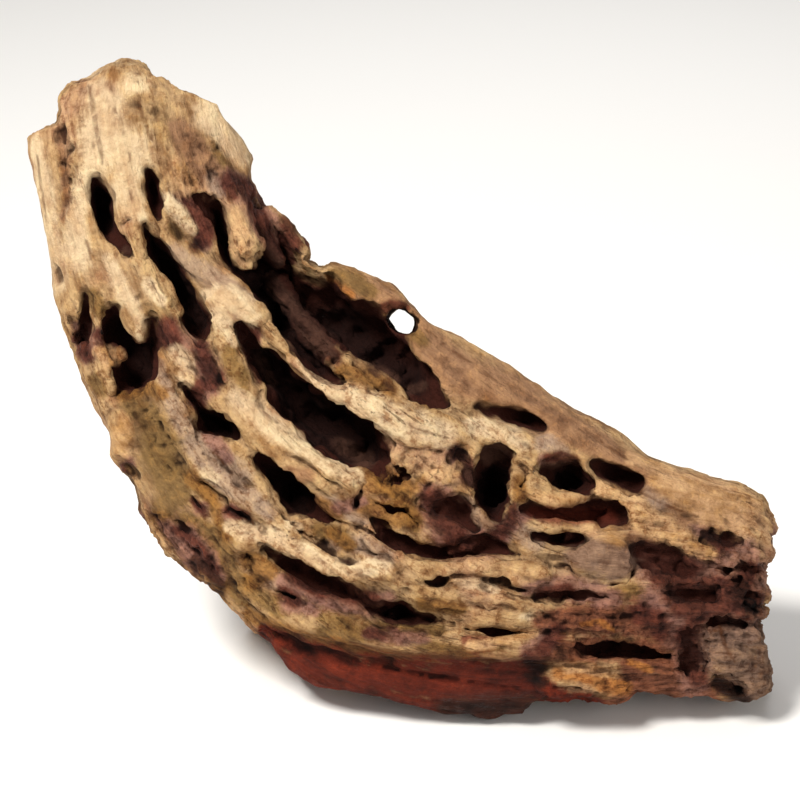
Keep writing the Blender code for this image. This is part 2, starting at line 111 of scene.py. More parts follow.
# Cross sections down the grain: outer edge (u, v), inner edge (u, v), depth in front, depth behind
SECTIONS = [
    ((20, 251), (58, 252), 6, 8),
    ((6, 243), (72, 245), 16, 20),
    ((-1, 229), (81, 233), 24, 27),
    ((0, 210), (87, 215), 30, 33),
    ((4, 184), (96, 194), 33, 38),
    ((10, 154), (108, 178), 33, 42),
    ((21, 121), (126, 171), 33, 45),
    ((35, 90), (147, 160), 33, 48),
    ((55, 60), (168, 144), 34, 51),
    ((82, 34), (190, 130), 36, 50),
    ((113, 9), (213, 116), 37, 46),
    ((154, -1), (236, 101), 37, 42),
    ((196, -1), (259, 94), 35, 38),
    ((240, 2), (278, 88), 31, 34),
    ((287, 3), (289, 78), 25, 27),
]
SECTION_FULLNESS = 2.0          # 2 is an ellipse, more is boxier
FORWARD_LEAN = 0.12             # how much w gains for each mm of v
LEAN_LEVEL = 100.0              # the height where the middle of the piece lies at w = 0

# Raised forms. Each point is u, v, width, and how far its crest stands out of the skin.
RIDGES = {
    "stub over the hollow": [(78, 200, 6, 4), (79.2, 192, 6, 3), (80.8, 184, 7, 2), (82, 177, 9, 0)],
    "splinter beside the stub": [(85, 190, 5, 1), (90, 182, 5, -1), (95, 173, 4, -3)],
    "bark flap": [(90, 196, 10, -6), (96, 184, 11, -7), (102, 176, 7, -8)],
    "splinter below the slots": [(48, 203, 5, 0), (52, 197, 6, 1.5), (58, 191, 6, 1.5), (64, 184, 5, 1)],
    "upper rib": [(51, 182, 6, 3), (60, 175, 11, 4), (70, 168, 13, 4), (79, 161, 14, 5)],
    "bright knob": [(72, 158, 16, 6), (79, 156.5, 16, 7), (86, 153, 11, 6)],
    "rib below the knob": [(73, 151, 12, 6), (77, 140, 9, 5), (80, 130, 9, 4), (84, 122, 10, 4)],
    "middle rib": [(90, 148, 5, 4), (98, 141, 6, 5), (108, 131, 8, 6), (120, 123, 11, 7),
                   (136, 115, 14, 7), (150, 110, 16, 6), (162, 108, 14, 4)],
    "broad rib": [(74, 123, 12, 4), (84, 114, 14, 5), (95, 104, 15, 6), (108, 96, 15, 6), (122, 90, 13, 5)],
    "grey rib": [(52, 126, 7, 3), (59, 111, 9, 4), (66, 98, 10, 4), (76, 89, 10, 4), (90, 80, 9, 4),
                 (101, 71, 7, 4)],
    "pale rib": [(80, 68, 10, 5), (92, 69, 11, 5), (108, 62, 10, 6), (125, 57, 11, 6), (145, 57, 12, 6),
                 (170, 57, 11, 5), (195, 56, 9, 4)],
    "forked rib": [(131, 71, 8, 4), (140, 63, 8, 5), (152, 50, 10, 4), (168, 48, 10, 4), (186, 43, 8, 3)],
    "lower rib": [(86, 50, 10, 4), (98, 42, 11, 5), (118, 37, 12, 6), (138, 32, 12, 6), (160, 30, 12, 6),
                  (180, 29, 10, 5), (194, 27, 7, 3)],
    "left knob": [(37, 113, 10, 4), (37, 107, 13, 5), (37, 102, 10, 4)],
    "log end": [(198, 16, 12, 4), (210, 16, 13, 6), (222, 13, 10, 7)],
    "grey boulder": [(209, 62, 14, 4), (218, 62, 20, 6), (224, 61, 17, 6)],
    "end knuckle": [(262, 26, 14, 5), (267, 22, 20, 7), (272, 16, 15, 6)],
    "top bulge": [(36, 240, 16, 3), (42, 236, 20, 3), (60, 226, 18, 0.5)],
}

# Hollows cut into the front. Each point is u, v, width, depth below the skin.
HOLLOWS = {
    "left slot": [(26.5, 202, 4.5, 14), (28.5, 196, 7.5, 22), (29.5, 190, 7.8, 24), (31, 185, 7, 20),
                  (34, 182, 5.5, 12), (37, 178.5, 5, 9), (39.5, 175, 3, 4)],
    "upper slot": [(46.5, 206, 3.5, 10), (48, 200, 5.6, 18), (49, 195, 5, 14), (50, 189, 3, 5)],
    "long slot": [(45, 186, 3.5, 10), (47, 181, 5, 20), (51, 174, 7.5, 26), (57.5, 164.5, 8.5, 32),
                  (61.5, 157, 7, 32), (65, 150, 8, 28), (67.5, 144, 5, 14)],
    "upper channel": [(66, 196, 6, 8), (72, 190, 7, 18), (75, 183, 7, 24), (79, 176, 9, 30),
                      (86, 170.5, 13, 34), (95, 165.5, 15, 36), (101, 160, 14, 30)],
    "wide channel": [(90, 168, 16, 34), (102, 162, 19, 36), (113, 153, 20, 37), (122, 146, 22, 38),
                     (131, 139, 21, 36), (140, 132, 19, 32), (147, 127, 15, 26), (152, 122, 9, 14),
                     (157, 119.5, 4, 6)],
    "narrow channel": [(93.5, 161, 8, 30), (96.5, 152, 9, 34), (101.5, 144, 8, 30), (107, 137, 7, 26),
                       (113, 131, 6, 18), (119, 128, 4, 8)],
    "second channel": [(83, 147, 7, 10), (87, 141, 10, 18), (92, 134, 12, 28), (99, 126, 14, 32),
                       (106, 118, 16, 32), (116, 110, 18, 32), (125, 104, 18, 28), (131, 99, 14, 20),
                       (134, 94, 7, 8)],
    "edge slot": [(22, 160, 4, 8), (22.5, 153, 4, 12), (22, 146, 6, 16), (21, 141, 6, 14)],
    "side pit": [(33, 152, 8, 16), (36, 145, 13, 26), (41, 139, 15, 30), (43, 134, 13, 26),
                 (38, 128, 12, 18), (35, 124, 7, 8)],
    "side pit's arm": [(47, 150, 5, 12), (47.5, 143, 7, 20), (45, 136, 9, 24)],
    "grey hollow": [(60, 124, 5, 10), (64, 118, 6, 14), (68, 113, 9, 24), (73, 110, 10, 26),
                    (78, 107.5, 7, 16)],
    "oval hollow": [(89, 98, 7, 12), (94, 92, 10, 22), (99, 87, 12, 28), (104, 82, 11, 26),
                    (109, 78, 7, 14), (119, 75, 4, 5)],
    "long groove": [(91, 63, 5, 6), (98, 58.8, 8, 11), (107, 55, 8.5, 13), (118, 51, 9, 13),
                    (126, 47, 8, 10)],
    "low hollow": [(128, 43, 5, 8), (134, 41.5, 8, 18), (141, 40.3, 9, 22), (148, 38.8, 7, 16),
                   (157, 37, 4, 6)],
    "curved groove": [(132, 75, 4, 5), (137, 69, 6, 10), (145, 65.5, 6, 11), (156, 63, 5, 9),
                      (168, 65, 7, 10), (176, 65, 7, 9), (185, 63, 4, 5)],
    "brown recess": [(152, 81, 6, 5), (158, 80, 11, 8), (165, 78.5, 11, 10), (169, 74, 6, 7)],
    "square hollow": [(178, 98, 10, 16), (177.5, 93, 11, 26), (177, 87, 11, 34), (176.5, 82, 10, 32),
                      (176.3, 79, 8, 20)],
    "slope beside the square hollow": [(162.5, 101, 4, 3), (166, 96, 6, 5), (168, 90, 5, 6)],
    "round hole": [(197.5, 94, 8, 12), (202, 92, 11.5, 24), (207, 90.5, 11, 26), (211, 89, 7.5, 16)],
    "shelf over the round hole": [(196, 98, 4, 4), (202, 98.5, 5, 5), (208, 96.5, 4, 5)],
    "upper right slot": [(214, 97, 4, 6), (218, 95, 6, 14), (224, 92, 7, 18), (230, 89.5, 7, 15)],
    "top right slot": [(171, 117.5, 5, 5), (179, 116, 6, 10), (187, 113.5, 7, 17), (194, 110.7, 6, 13)],
    "red hollow": [(190, 80, 5, 6), (199, 77.5, 8, 11), (208, 77.5, 9, 13), (217, 78, 11, 15),
                   (225, 76.7, 8, 11)],
    "slot under it": [(189, 74, 4, 6), (196, 70, 5, 12), (202, 68.8, 6, 16), (208, 69, 5, 9)],
    "long low slot": [(208, 27.5, 5, 8), (214, 27.4, 6.2, 15), (222, 27, 6.6, 17), (230, 26.2, 5.6, 15),
                      (237, 25.4, 4.4, 12), (243, 24.7, 3, 6)],
    "low right groove": [(193, 46.8, 4, 5), (205, 46.8, 5, 7), (220, 45.7, 4, 4)],
    "dark recess": [(235, 62, 11, 8), (241, 60, 13, 9), (250, 56, 11, 7)],
    "dark pocket": [(243, 48, 7, 5), (250, 47, 9, 7), (259, 47.5, 7, 5)],
    "end cleft": [(252, 32, 9, 6), (251.5, 25, 9, 8), (251.5, 18, 7, 5)],
    "end groove": [(253, 35, 5, 4), (262, 37, 5, 6), (270, 36, 4, 3)],
    "end pit": [(262.5, 14, 9, 3.5), (268, 11.5, 8, 3)],
    "end hole": [(271, 58.5, 6, 9), (277, 58, 5, 8)],
}

# Forms left standing inside the hollows. Each point is u, v, width, height from the skin.
INNER_FORMS = {
    "hidden rib": [(94, 165, 6, -16), (100, 156, 6, -14), (107, 146, 6.5, -11), (115, 138, 6, -8),
                   (123, 132, 6, -5), (134, 127, 5, -3)],
    "hanging stub": [(78, 197, 5, -3), (79.2, 191, 6, 0), (80.5, 185, 7, 1), (81.8, 179, 9, 0),
                     (82.3, 175.5, 9, -1)],
    "hanging splinter": [(86, 188, 6, -5), (91, 180, 5, -7), (95, 173, 4, -8)],
    "pit tooth": [(40, 154, 8, 0), (42.5, 148, 6, -1), (43.5, 144, 3, -2)],
    "pit knob": [(24, 139, 5, -2), (30, 138, 7, -2), (35, 137.5, 6, -3)],
}

# Round bores that run right through: entry (u, v), exit (u, v), half width along and across, turn
THROUGH_HOLE = ((142.2, 150.2), (142.2, 150.2), 6.5, 4.9, -38.0)
END_HOLE = ((273.5, 57.8), (273.5, 57.8), 1.4, 2.0, 0.0)

# Flutes and hollows of the back: u, v, width, depth below the skin
BACK_HOLLOWS = {
    "back slot": [(30, 205, 5, 6), (36, 190, 8, 14), (43, 172, 9, 18), (52, 155, 7, 10)],
    "back channel": [(62, 190, 6, 6), (72, 172, 10, 16), (86, 153, 13, 22), (104, 134, 13, 20),
                     (124, 116, 9, 9)],
    "back groove": [(52, 120, 6, 5), (66, 101, 9, 12), (84, 84, 10, 14), (106, 68, 8, 8)],
    "back oval": [(142, 88, 8, 8), (152, 80, 13, 20), (163, 74, 12, 18), (173, 70, 6, 7)],
    "back upper slot": [(150, 128, 5, 6), (164, 119, 8, 13), (180, 110, 8, 13), (196, 103, 5, 5)],
    "back low slot": [(196, 52, 5, 6), (212, 49, 9, 14), (230, 47, 9, 13), (246, 46, 5, 6)],
    "back right pit": [(214, 84, 6, 7), (224, 80, 9, 14), (235, 77, 6, 7)],
}
BACK_RIDGES = {
    "back rib": [(50, 205, 14, 3), (58, 180, 16, 5), (70, 150, 16, 5), (92, 118, 17, 5), (122, 92, 16, 4)],
    "back low rib": [(60, 78, 12, 2), (90, 54, 16, 5), (130, 42, 17, 5), (175, 34, 15, 4), (220, 30, 12, 3)],
    "back upper rib": [(126, 140, 12, 3), (156, 104, 15, 5), (196, 84, 15, 5), (244, 68, 12, 3)],
}

# Low points under the piece: u, v, w of the sole, and the half width of the lump above it
FEET = {
    "front foot": (176, 2.5, -10.0, 10.0),
    "right foot": (256, 14, -33.0, 10.0),
    "back foot": (99, 30, -65.5, 12.0),
}
# The heel that carries the back foot: u, v, w and half width
HEEL = [(165, 60, -33, 20), (138, 57, -38, 22), (116, 49, -44, 21), (101, 38, -52, 17), (97, 31, -60, 11)]

# A form's rounded end: how far past its last point, in half widths, and its size there
ROUND_END = [(0.7, 0.7), (0.95, 0.3)]
RIDGE_DEPTH = 0.75              # a ridge is this deep for its width, and at least as deep as the next
LEAST_RIDGE_DEPTH = 5.0
CUTTER_RISE = 0.4               # a cutter stands out of the skin by this part of its depth, and
CUTTER_CLEARANCE = 4.0          # by this much more
LUMP_SPREAD = 1.6               # the underside rises around a sole over this many half widths
UNDERSIDE_SOFTNESS = 0.003      # in metres

# Small grooves and pits cut into the finished ribs: u, v, width, depth below the skin
SMALL_GROOVES = {
    "hollow beside the stub": [(87, 196, 5, 12), (90, 188, 8, 20), (94, 180, 9, 26), (97, 172, 10, 28)],
    "notch above the strip": [(36, 186, 3, 4), (39, 188, 3, 4)],
    "strip groove": [(13, 222, 5, 3), (14.5, 215, 5, 3), (15.5, 206, 3.6, 3), (16.5, 197, 3.4, 2.5),
                     (14, 190, 3, 2)],
    "rim of the through hole": [(134, 154, 4, 3), (138, 154.5, 4, 4), (143, 155.5, 3, 3)],
    "top of the square hollow": [(173.2, 101.8, 4.4, 12), (178, 101.8, 4.4, 14), (182.4, 100, 4, 14)],
    "right side of the square hollow": [(182, 98, 3.6, 16), (182, 91, 3.6, 18), (180.6, 85, 3.6, 18),
                                        (179, 80, 3, 12)],
    "left side of the square hollow": [(171.8, 100, 3.6, 14), (171.8, 90, 3.6, 18), (171.2, 83, 3.2, 18),
                                       (173.5, 78, 3, 12)],
    "broad rib groove": [(98, 100, 2, 2), (103, 98, 2.6, 4), (108, 95, 3, 4), (112, 92, 2.6, 4),
                         (118, 88, 1.8, 2)],
    "rib pit": [(130, 124, 4, 4), (133.5, 122.5, 4, 5)],
    "oval tail": [(109, 78, 4, 9), (113, 77, 4, 9), (119, 75, 3, 6), (127, 71.5, 2.5, 5), (135, 67.5, 2, 4)],
    "rib edge groove": [(101, 74, 2.4, 4), (105, 70, 2.6, 5), (112, 65.5, 3, 5), (119, 61, 3, 4),
                        (126, 59.5, 2, 2)],
    "low tail": [(150, 38.3, 4.5, 10), (157, 37, 2.5, 5), (163, 35.5, 1.8, 3)],
    "slot in the lower rib": [(166, 33.8, 3, 7), (171, 34, 4.4, 11), (178, 33.5, 4, 11), (184, 33, 3, 8),
                              (189, 33, 2, 4)],
    "fork groove": [(151, 52, 2, 3), (156, 52.8, 3, 6), (162, 54, 2, 4), (170, 53.5, 2.2, 3),
                    (176, 52.8, 3, 5), (181, 52, 3.4, 6), (184, 50, 2, 3), (189, 49, 2, 3)],
    "lower fork groove": [(165, 44.5, 1.8, 2), (170, 42.8, 2, 3), (175, 41.3, 2, 3), (180, 42, 1.8, 2),
                          (190, 40, 1.6, 2)],
    "right edge of the boulder": [(229.5, 66, 2.4, 5), (230, 60, 2.6, 6), (229, 54.5, 2.4, 5)],
    "under the boulder": [(214, 51.2, 1.8, 2), (221, 50.8, 2.2, 3), (227, 51.2, 2, 3)],
    "gap beside the flap": [(98, 181, 3, 12), (101, 174, 4, 18), (104, 168, 5, 20)],
    "boulder crack": [(199, 58.3, 2, 3), (205, 57.6, 2, 4), (208, 54, 1.8, 3), (210, 51.5, 1.6, 2)],
    "flank pit": [(63, 84, 2, 2.5), (65.5, 81, 3, 4), (67.5, 78, 2, 2.5)],
    "flank stain pit": [(57, 73, 2, 1), (61, 71.5, 2.4, 1.5), (65, 69, 2, 1)],
    "flank pocket": [(81, 63.5, 2.4, 2.5), (84, 62, 3, 3.5), (86.5, 60.5, 2.2, 2.5)],
    "purple pocket": [(76, 79, 3.4, 4), (80, 77.5, 3.6, 5), (84, 76, 2.6, 3)],
    "lower pit": [(93, 50.5, 2.4, 2.5), (97, 48, 3, 3.5), (101, 46, 2.4, 2.5)],
    "flank line": [(66, 90, 2.4, 4), (71, 86, 2.6, 5), (76, 82, 2.2, 4)],
    "notch under the knob": [(35, 98.5, 4, 6), (39, 95.5, 4, 5), (42, 92, 3, 3)],
    "bleach notch": [(11, 169, 4, 4), (12, 166, 4, 4)],
    "notch by the edge slot": [(17, 151, 3, 4), (18.5, 148, 3, 4)],
    "recess slit": [(138, 89, 3, 6), (143, 92, 4, 7), (140, 95, 3, 5)],
    "recess slit below": [(132, 82, 2, 3), (137, 79.5, 3.4, 6), (143, 79, 3, 6), (148, 73, 3, 4)],
    "fibre gap": [(131, 86.5, 2, 4), (128, 89, 2, 3), (124, 81, 3, 4)],
    "tongue crack": [(189, 84, 2, 4), (192, 82, 2.2, 4), (197, 81, 2, 3)],
    "tongue corner": [(186, 96, 3, 5), (189, 92.5, 3.4, 5), (187, 88, 3, 5)],
    "end groove above": [(255, 56, 4, 5), (260, 57.5, 4, 5), (265, 56.5, 4, 5)],
    "end pit above": [(258, 69, 6, 5), (264, 67.5, 6, 5), (270, 66.5, 3, 4)],
    "end slant": [(269, 52, 4, 6), (273, 49, 4, 6), (276, 46, 3, 4)],
    "end slant below": [(272, 43, 3, 4), (276, 41, 3, 4)],
    "knuckle cleft": [(256, 33, 4, 5), (257, 25, 3, 4), (256, 18, 3, 4)],
    "underside streak": [(120, 23, 2, 1.5), (150, 17, 2.2, 2), (170, 14, 2.2, 2), (188, 11, 2, 1.5)],
    "underside groove": [(90, 34, 4, 2), (104, 27, 6, 3), (122, 22, 5, 2), (140, 20, 4, 1)],
    "small hole at the tip": [(271, 60, 2.4, 4), (274.5, 63, 2, 3)],
}

# Small forms added on the ribs and inside the hollows: u, v, width, height from the skin
SMALL_FORMS = {
    "stub": [(78, 198, 4, 1), (79.2, 191, 4.6, 2.5), (80.5, 185, 5.6, 3), (81.8, 179, 8, 3.2),
             (82, 176, 8.5, 2), (83.5, 173.5, 4.5, 0)],
    "splinter beside the stub": [(89, 188, 3, -6), (92.5, 180, 3.4, -8), (95.5, 172, 3, -9)],
    "wall under the red hollow": [(187.5, 76, 2.2, 0), (193, 73.6, 2.8, 0), (200, 72.7, 2.8, 0),
                                  (207, 72.3, 3, 0), (214, 71.8, 4, 0)],
    "strands in the curved groove": [(160, 63.5, 1.6, -4), (165, 65, 2, -3.5), (170, 66.5, 1.6, -4)],
    "flap": [(91, 190, 3, -6), (96, 185, 5, -6), (101, 179, 6, -7), (104.5, 175, 3, -8)],
    "ledge in the wide channel": [(118, 136, 4, -9), (126, 131, 5, -6), (134, 127, 5, -4), (141, 122, 4, -3)],
    "recess fibre": [(127, 90, 2, -1), (131, 88, 2.2, 1), (134, 86, 2, 0)],
    "recess fibre below": [(129, 79.5, 1.8, 0), (133, 78.5, 2, 1), (136, 77, 1.6, 0)],
    "recess slip": [(145, 86.5, 2, 0), (149, 87.5, 2.2, 1), (152, 86, 1.8, 0)],
    "cream slip": [(149, 91, 2.4, 1), (154, 91.5, 3, 2), (159, 91, 2.4, 1)],
    "thin rib": [(84, 150, 2.6, 0), (88, 145.5, 3.2, 1), (98, 138, 3.4, 1), (105, 131, 3.6, 1.5),
                 (112, 126, 4, 2), (120, 121.5, 4, 1)],
    "tooth": [(272, 63, 3, 1), (277, 61.5, 3, 3), (280, 62, 2.4, 1)],
    "tooth below": [(273, 51, 3, 1), (277, 49.5, 3.4, 2), (279, 48, 2.4, 1)],
    "red rib": [(200, 36, 3, 1), (204, 31, 4, 2), (203, 27, 3, 1)],
    "amber rib": [(209, 36.5, 2.4, 1), (216, 37.5, 3, 2), (222, 35, 2.4, 1)],
    "lower lip": [(166, 27.6, 3, 1), (176, 28, 3, 2), (186, 28.6, 3, 1.5), (192, 30, 2.4, 0)],
    "upper lip": [(168, 37.5, 3, 1), (178, 38.5, 3.4, 2), (188, 38.8, 3, 1)],
}

# Where the surface is broken and pitted: u, v, radius
BROKEN = [
    [(262, 66, 12), (268, 52, 14), (262, 40, 10), (250, 26, 6), (252, 14, 5)],
    [(240, 60, 8), (250, 50, 9)],
    [(140, 92, 9), (144, 80, 8), (158, 94, 6)],
    [(50, 72, 8), (64, 66, 8), (70, 56, 5)],
    [(106, 70, 6), (120, 68, 6)],
    [(200, 38, 8), (216, 36, 9), (234, 38, 8), (204, 28, 6)],
    [(16, 215, 4), (17, 200, 3)],
    [(66, 216, 6), (72, 207, 5)],
    [(40, 122, 5), (50, 112, 5), (54, 96, 5)],
    [(84, 58, 6), (90, 50, 6)],
    [(45, 156, 5)],
    [(82, 178, 4), (83, 173, 4)],
    [(94, 165, 4), (107, 146, 4), (118, 136, 4)],
    [(200, 12, 5), (214, 11, 5), (222, 12, 5)],
]

# Where the surface is smoother: u, v, radius
CALM = [
    [(4, 215, 8), (10, 185, 9), (18, 165, 8)],
    [(34, 236, 12), (34, 214, 14), (40, 198, 10), (22, 188, 8), (24, 170, 8)],
    [(62, 226, 12), (74, 216, 10)],
    [(122, 164, 8), (150, 144, 10), (176, 128, 11), (204, 110, 9), (234, 92, 9), (262, 80, 9)],
    [(218, 62, 10)],
    [(80, 190, 5)],
    [(58, 176, 7), (70, 167, 9), (80, 158, 8)],
    [(36, 165, 8), (42, 156, 7)],
    [(105, 24, 9), (135, 15, 10), (165, 14, 10), (190, 14, 9)],
    [(37, 106, 8)],
    [(42, 118, 7), (48, 104, 8), (50, 92, 8), (54, 82, 7)],
    [(84, 116, 8), (104, 102, 8)],
]

# Fine dark splits along the grain: u, v, radius
FISSURES = [
    [(24, 239, 0.6), (25.3, 231, 1.1), (26.5, 223, 0.9), (28.2, 215, 1.0), (29, 210, 0.6)],
    [(32, 240, 0.4), (33, 232, 0.6), (35, 226, 0.4)],
    [(42.5, 240, 0.4), (43, 231, 0.8), (45, 225, 0.7), (48, 217, 0.4)],
    [(36, 226, 0.4), (38, 217, 0.6), (40, 210, 0.4)],
    [(38, 206, 0.4), (39.5, 198, 0.5), (41, 193, 0.3)],
    [(4, 214, 0.4), (6, 200, 0.5), (8, 186, 0.3)],
    [(21, 190, 0.4), (23, 180, 0.6), (25, 172, 0.4)],
    [(52, 222, 0.4), (54, 212, 0.6), (56, 204, 0.4)],
    [(63, 112, 0.4), (69, 103, 0.6), (75, 96, 0.5)],
    [(90, 116, 0.5), (98, 109, 0.6), (104, 104, 0.4)],
    [(140, 113, 0.4), (150, 109, 0.6), (160, 106, 0.4)],
    [(150, 148, 0.4), (164, 137, 0.6), (178, 128, 0.4)],
    [(206, 112, 0.4), (220, 103, 0.5), (232, 95, 0.4)],
    [(228, 88, 0.4), (242, 81, 0.6), (254, 76, 0.4)],
    [(120, 56, 0.5), (134, 53, 0.7), (146, 51, 0.5)],
    [(150, 46, 0.5), (164, 43, 0.7), (180, 42, 0.5)],
    [(100, 62, 0.5), (112, 55, 0.7), (118, 53, 0.4)],
    [(120, 30, 0.4), (140, 25.5, 0.7), (160, 23.5, 0.6), (178, 23, 0.4)],
    [(262, 36, 0.6), (264, 28, 0.9), (268, 22, 0.5)],
]

# Where each colour lies on the wood. Each stroke runs through points of u, v, radius.

# Honey: the smooth right end, the stub, and the rims of the holes on the right
HONEY = [
    [(221, 86, 4), (228, 83, 4), (233, 76, 5), (242, 71, 5), (252, 66, 4), (258, 63, 3)],
    [(229, 99, 3), (240, 97, 3), (252, 90, 4), (264, 85, 5), (274, 81, 4)],
    [(240, 90, 5), (256, 80, 6), (270, 74, 6)],
    [(79, 192, 1.5), (80, 187, 3), (81, 181, 5), (82, 175, 4)],
    [(154, 93, 3), (160, 92, 3), (164, 96, 2)],
    [(192, 84, 2), (200, 83, 2.5), (212, 84.5, 2.5), (218, 88, 3)],
    [(37, 112, 3), (36, 106, 4), (36, 101, 3)],
    [(27, 139, 2), (31, 137, 3), (31, 132, 1.5)],
    [(211, 72, 2), (218, 71, 3), (224, 68, 3)],
    [(57, 208, 4), (61, 202, 5)],
    [(76, 217, 3), (81, 209, 3)],
    [(182, 54, 2.5), (189, 53.5, 2.5), (196, 56, 2)],
    [(168, 28, 2), (180, 30, 2), (192, 33, 2)],
    [(204, 19.5, 2), (212, 19.5, 2), (219, 17, 1.5)],
]
# Bleached: the upper left, the knob, and the tops of the middle ribs
BLEACHED = [
    [(3, 217, 4), (6, 200, 4.5), (9, 180, 4.5), (12, 165, 4)],
    [(30, 234, 7), (28, 216, 10), (24, 205, 5), (19, 190, 4), (19, 174, 6)],
    [(40, 214, 10), (38, 202, 7), (40, 193, 5), (43, 190, 3)],
    [(69, 228, 6), (76, 219, 5), (81, 211, 4)],
    [(40, 240, 4), (45, 239, 3)],
    [(53, 196, 2.5), (58, 190, 3), (63, 184, 2)],
    [(68, 160, 2.5), (74, 160, 4.5), (81, 156, 5.5), (86, 151, 3)],
    [(73, 153, 4), (76, 147, 3), (79, 142, 2)],
    [(31, 174, 2), (35, 165, 3.5), (39, 158, 3.5), (44, 150, 2.5), (43, 144, 1.5)],
    [(46, 164, 3), (51, 158, 2.5)],
    [(57, 138, 3.5), (61, 135, 3), (60, 128, 3)],
    [(104, 134, 2), (110, 128, 4), (119, 122, 5), (130, 116, 7), (145, 111, 6), (158, 107, 5)],
    [(168, 111, 3), (175, 109.5, 4), (184, 107, 4), (187, 104, 3)],
    [(80, 121, 4), (88, 115, 5), (96, 108, 5), (106, 102, 3), (116, 96, 4), (124, 92, 4)],
    [(68, 93, 2.5), (71, 91, 2)],
    [(77, 73, 2.5), (84, 71, 3.5), (93, 69, 4), (103, 64, 4), (113, 59, 4), (124, 57, 3.5), (136, 58, 3)],
    [(103, 72.5, 2), (99, 74, 2)],
    [(163, 52, 2), (171, 51.5, 2.5), (178, 49, 1.5)],
    [(187, 38.6, 1.2), (190, 39, 1.5)],
]
# Smoky brown, partly painted shade: around the dark hollows, and most of the right end
SMOKY = [
    [(78, 204, 5), (86, 197, 6), (92, 186, 6), (98, 180, 6)],
    [(60, 196, 4), (68, 190, 5), (67, 180, 4)],
    [(54, 146, 5), (66, 138, 5), (70, 128, 5), (64, 120, 4)],
    [(84, 145, 5), (87, 134, 3)],
    [(66, 80, 3)],
    [(156, 82, 8), (160, 70, 9), (176, 66, 5), (186, 77, 4)],
    [(162, 101, 4), (167, 92, 4)],
    [(98, 52, 4), (112, 47.5, 5), (122, 44, 5), (130, 43, 5), (137, 46, 3)],
    [(190, 50, 4), (206, 50, 5), (222, 46, 4)],
    [(190, 26, 4), (196, 30, 5)],
    [(232, 62, 8), (244, 56, 12), (260, 52, 15), (274, 52, 12)],
    [(256, 68, 8), (264, 68, 8), (272, 62, 7)],
    [(240, 46, 8), (256, 40, 12), (274, 40, 10)],
    [(248, 32, 8), (253, 24, 8), (252, 14, 6)],
    [(170, 5, 6), (180, 4, 6)],
    [(54, 72, 4), (60, 68, 6), (67, 61, 5), (73, 54, 3)],
    # painted shade on the slope under the grey hollow
    [(69, 108, 3), (72, 104, 3.5), (76, 99, 3)],
    [(100, 44, 4), (108, 42, 3)],
    [(130, 33, 3), (140, 31, 3), (150, 31, 3)],
    [(200, 96, 3), (196, 98, 3)],
    [(20, 148, 3), (22, 138, 4), (28, 144, 4)],
    [(38, 97, 3)],
    [(78, 78, 4)],
    [(118, 80, 3), (126, 82, 3)],
]
# Where light reaches the inside of the hollows
INSIDE = [
    [(163, 101, 4), (166, 95, 4), (167, 88, 3)],
    [(91, 168, 3), (98, 158, 3.5), (105, 149, 4), (112, 141, 4), (118, 135, 3)],
    [(88, 186, 2), (92, 179, 2.5), (95.5, 172, 2)],
    [(192, 78, 3), (205, 77, 4), (220, 76.5, 4)],
    [(130, 133, 3), (138, 128, 3)],
    [(144, 124, 2), (150, 126, 2)],
    [(96, 144, 1.5), (102, 137, 1.5)],
    [(38, 177, 2)],
    [(88, 137, 2), (93, 127, 2)],
    [(118, 104, 3), (128, 98, 4)],
    [(175, 100, 4), (180, 101, 3)],
    [(198, 98, 3), (206, 97, 3)],
]
# Ochre: the broken middle, and the left flank
OCHRE = [
    [(124, 94, 4), (134, 90, 7), (142, 86, 7)],
    [(126, 81, 4), (138, 78, 6), (147, 76, 5)],
    [(150, 88, 4), (152, 80, 3)],
    [(118, 78, 3), (110, 82, 3)],
    [(84, 40, 3), (94, 35, 3), (108, 30, 3), (124, 26, 3), (145, 23, 2.5), (170, 24, 2)],
    [(120, 131, 4), (130, 129, 4), (138, 124, 3)],
    [(62, 92, 3), (70, 84, 3), (76, 70, 3)],
    [(50, 74, 5), (59, 69, 7), (67, 61, 6), (74, 51, 4)],
    [(36, 123, 3), (44, 125, 4), (51, 123, 3)],
    [(84, 61, 4), (92, 56, 4), (86, 52, 4)],
    [(116, 70, 3), (122, 66, 3)],
    [(186, 90, 3), (187, 84, 3)],
    [(150, 44, 3), (164, 42, 3)],
]
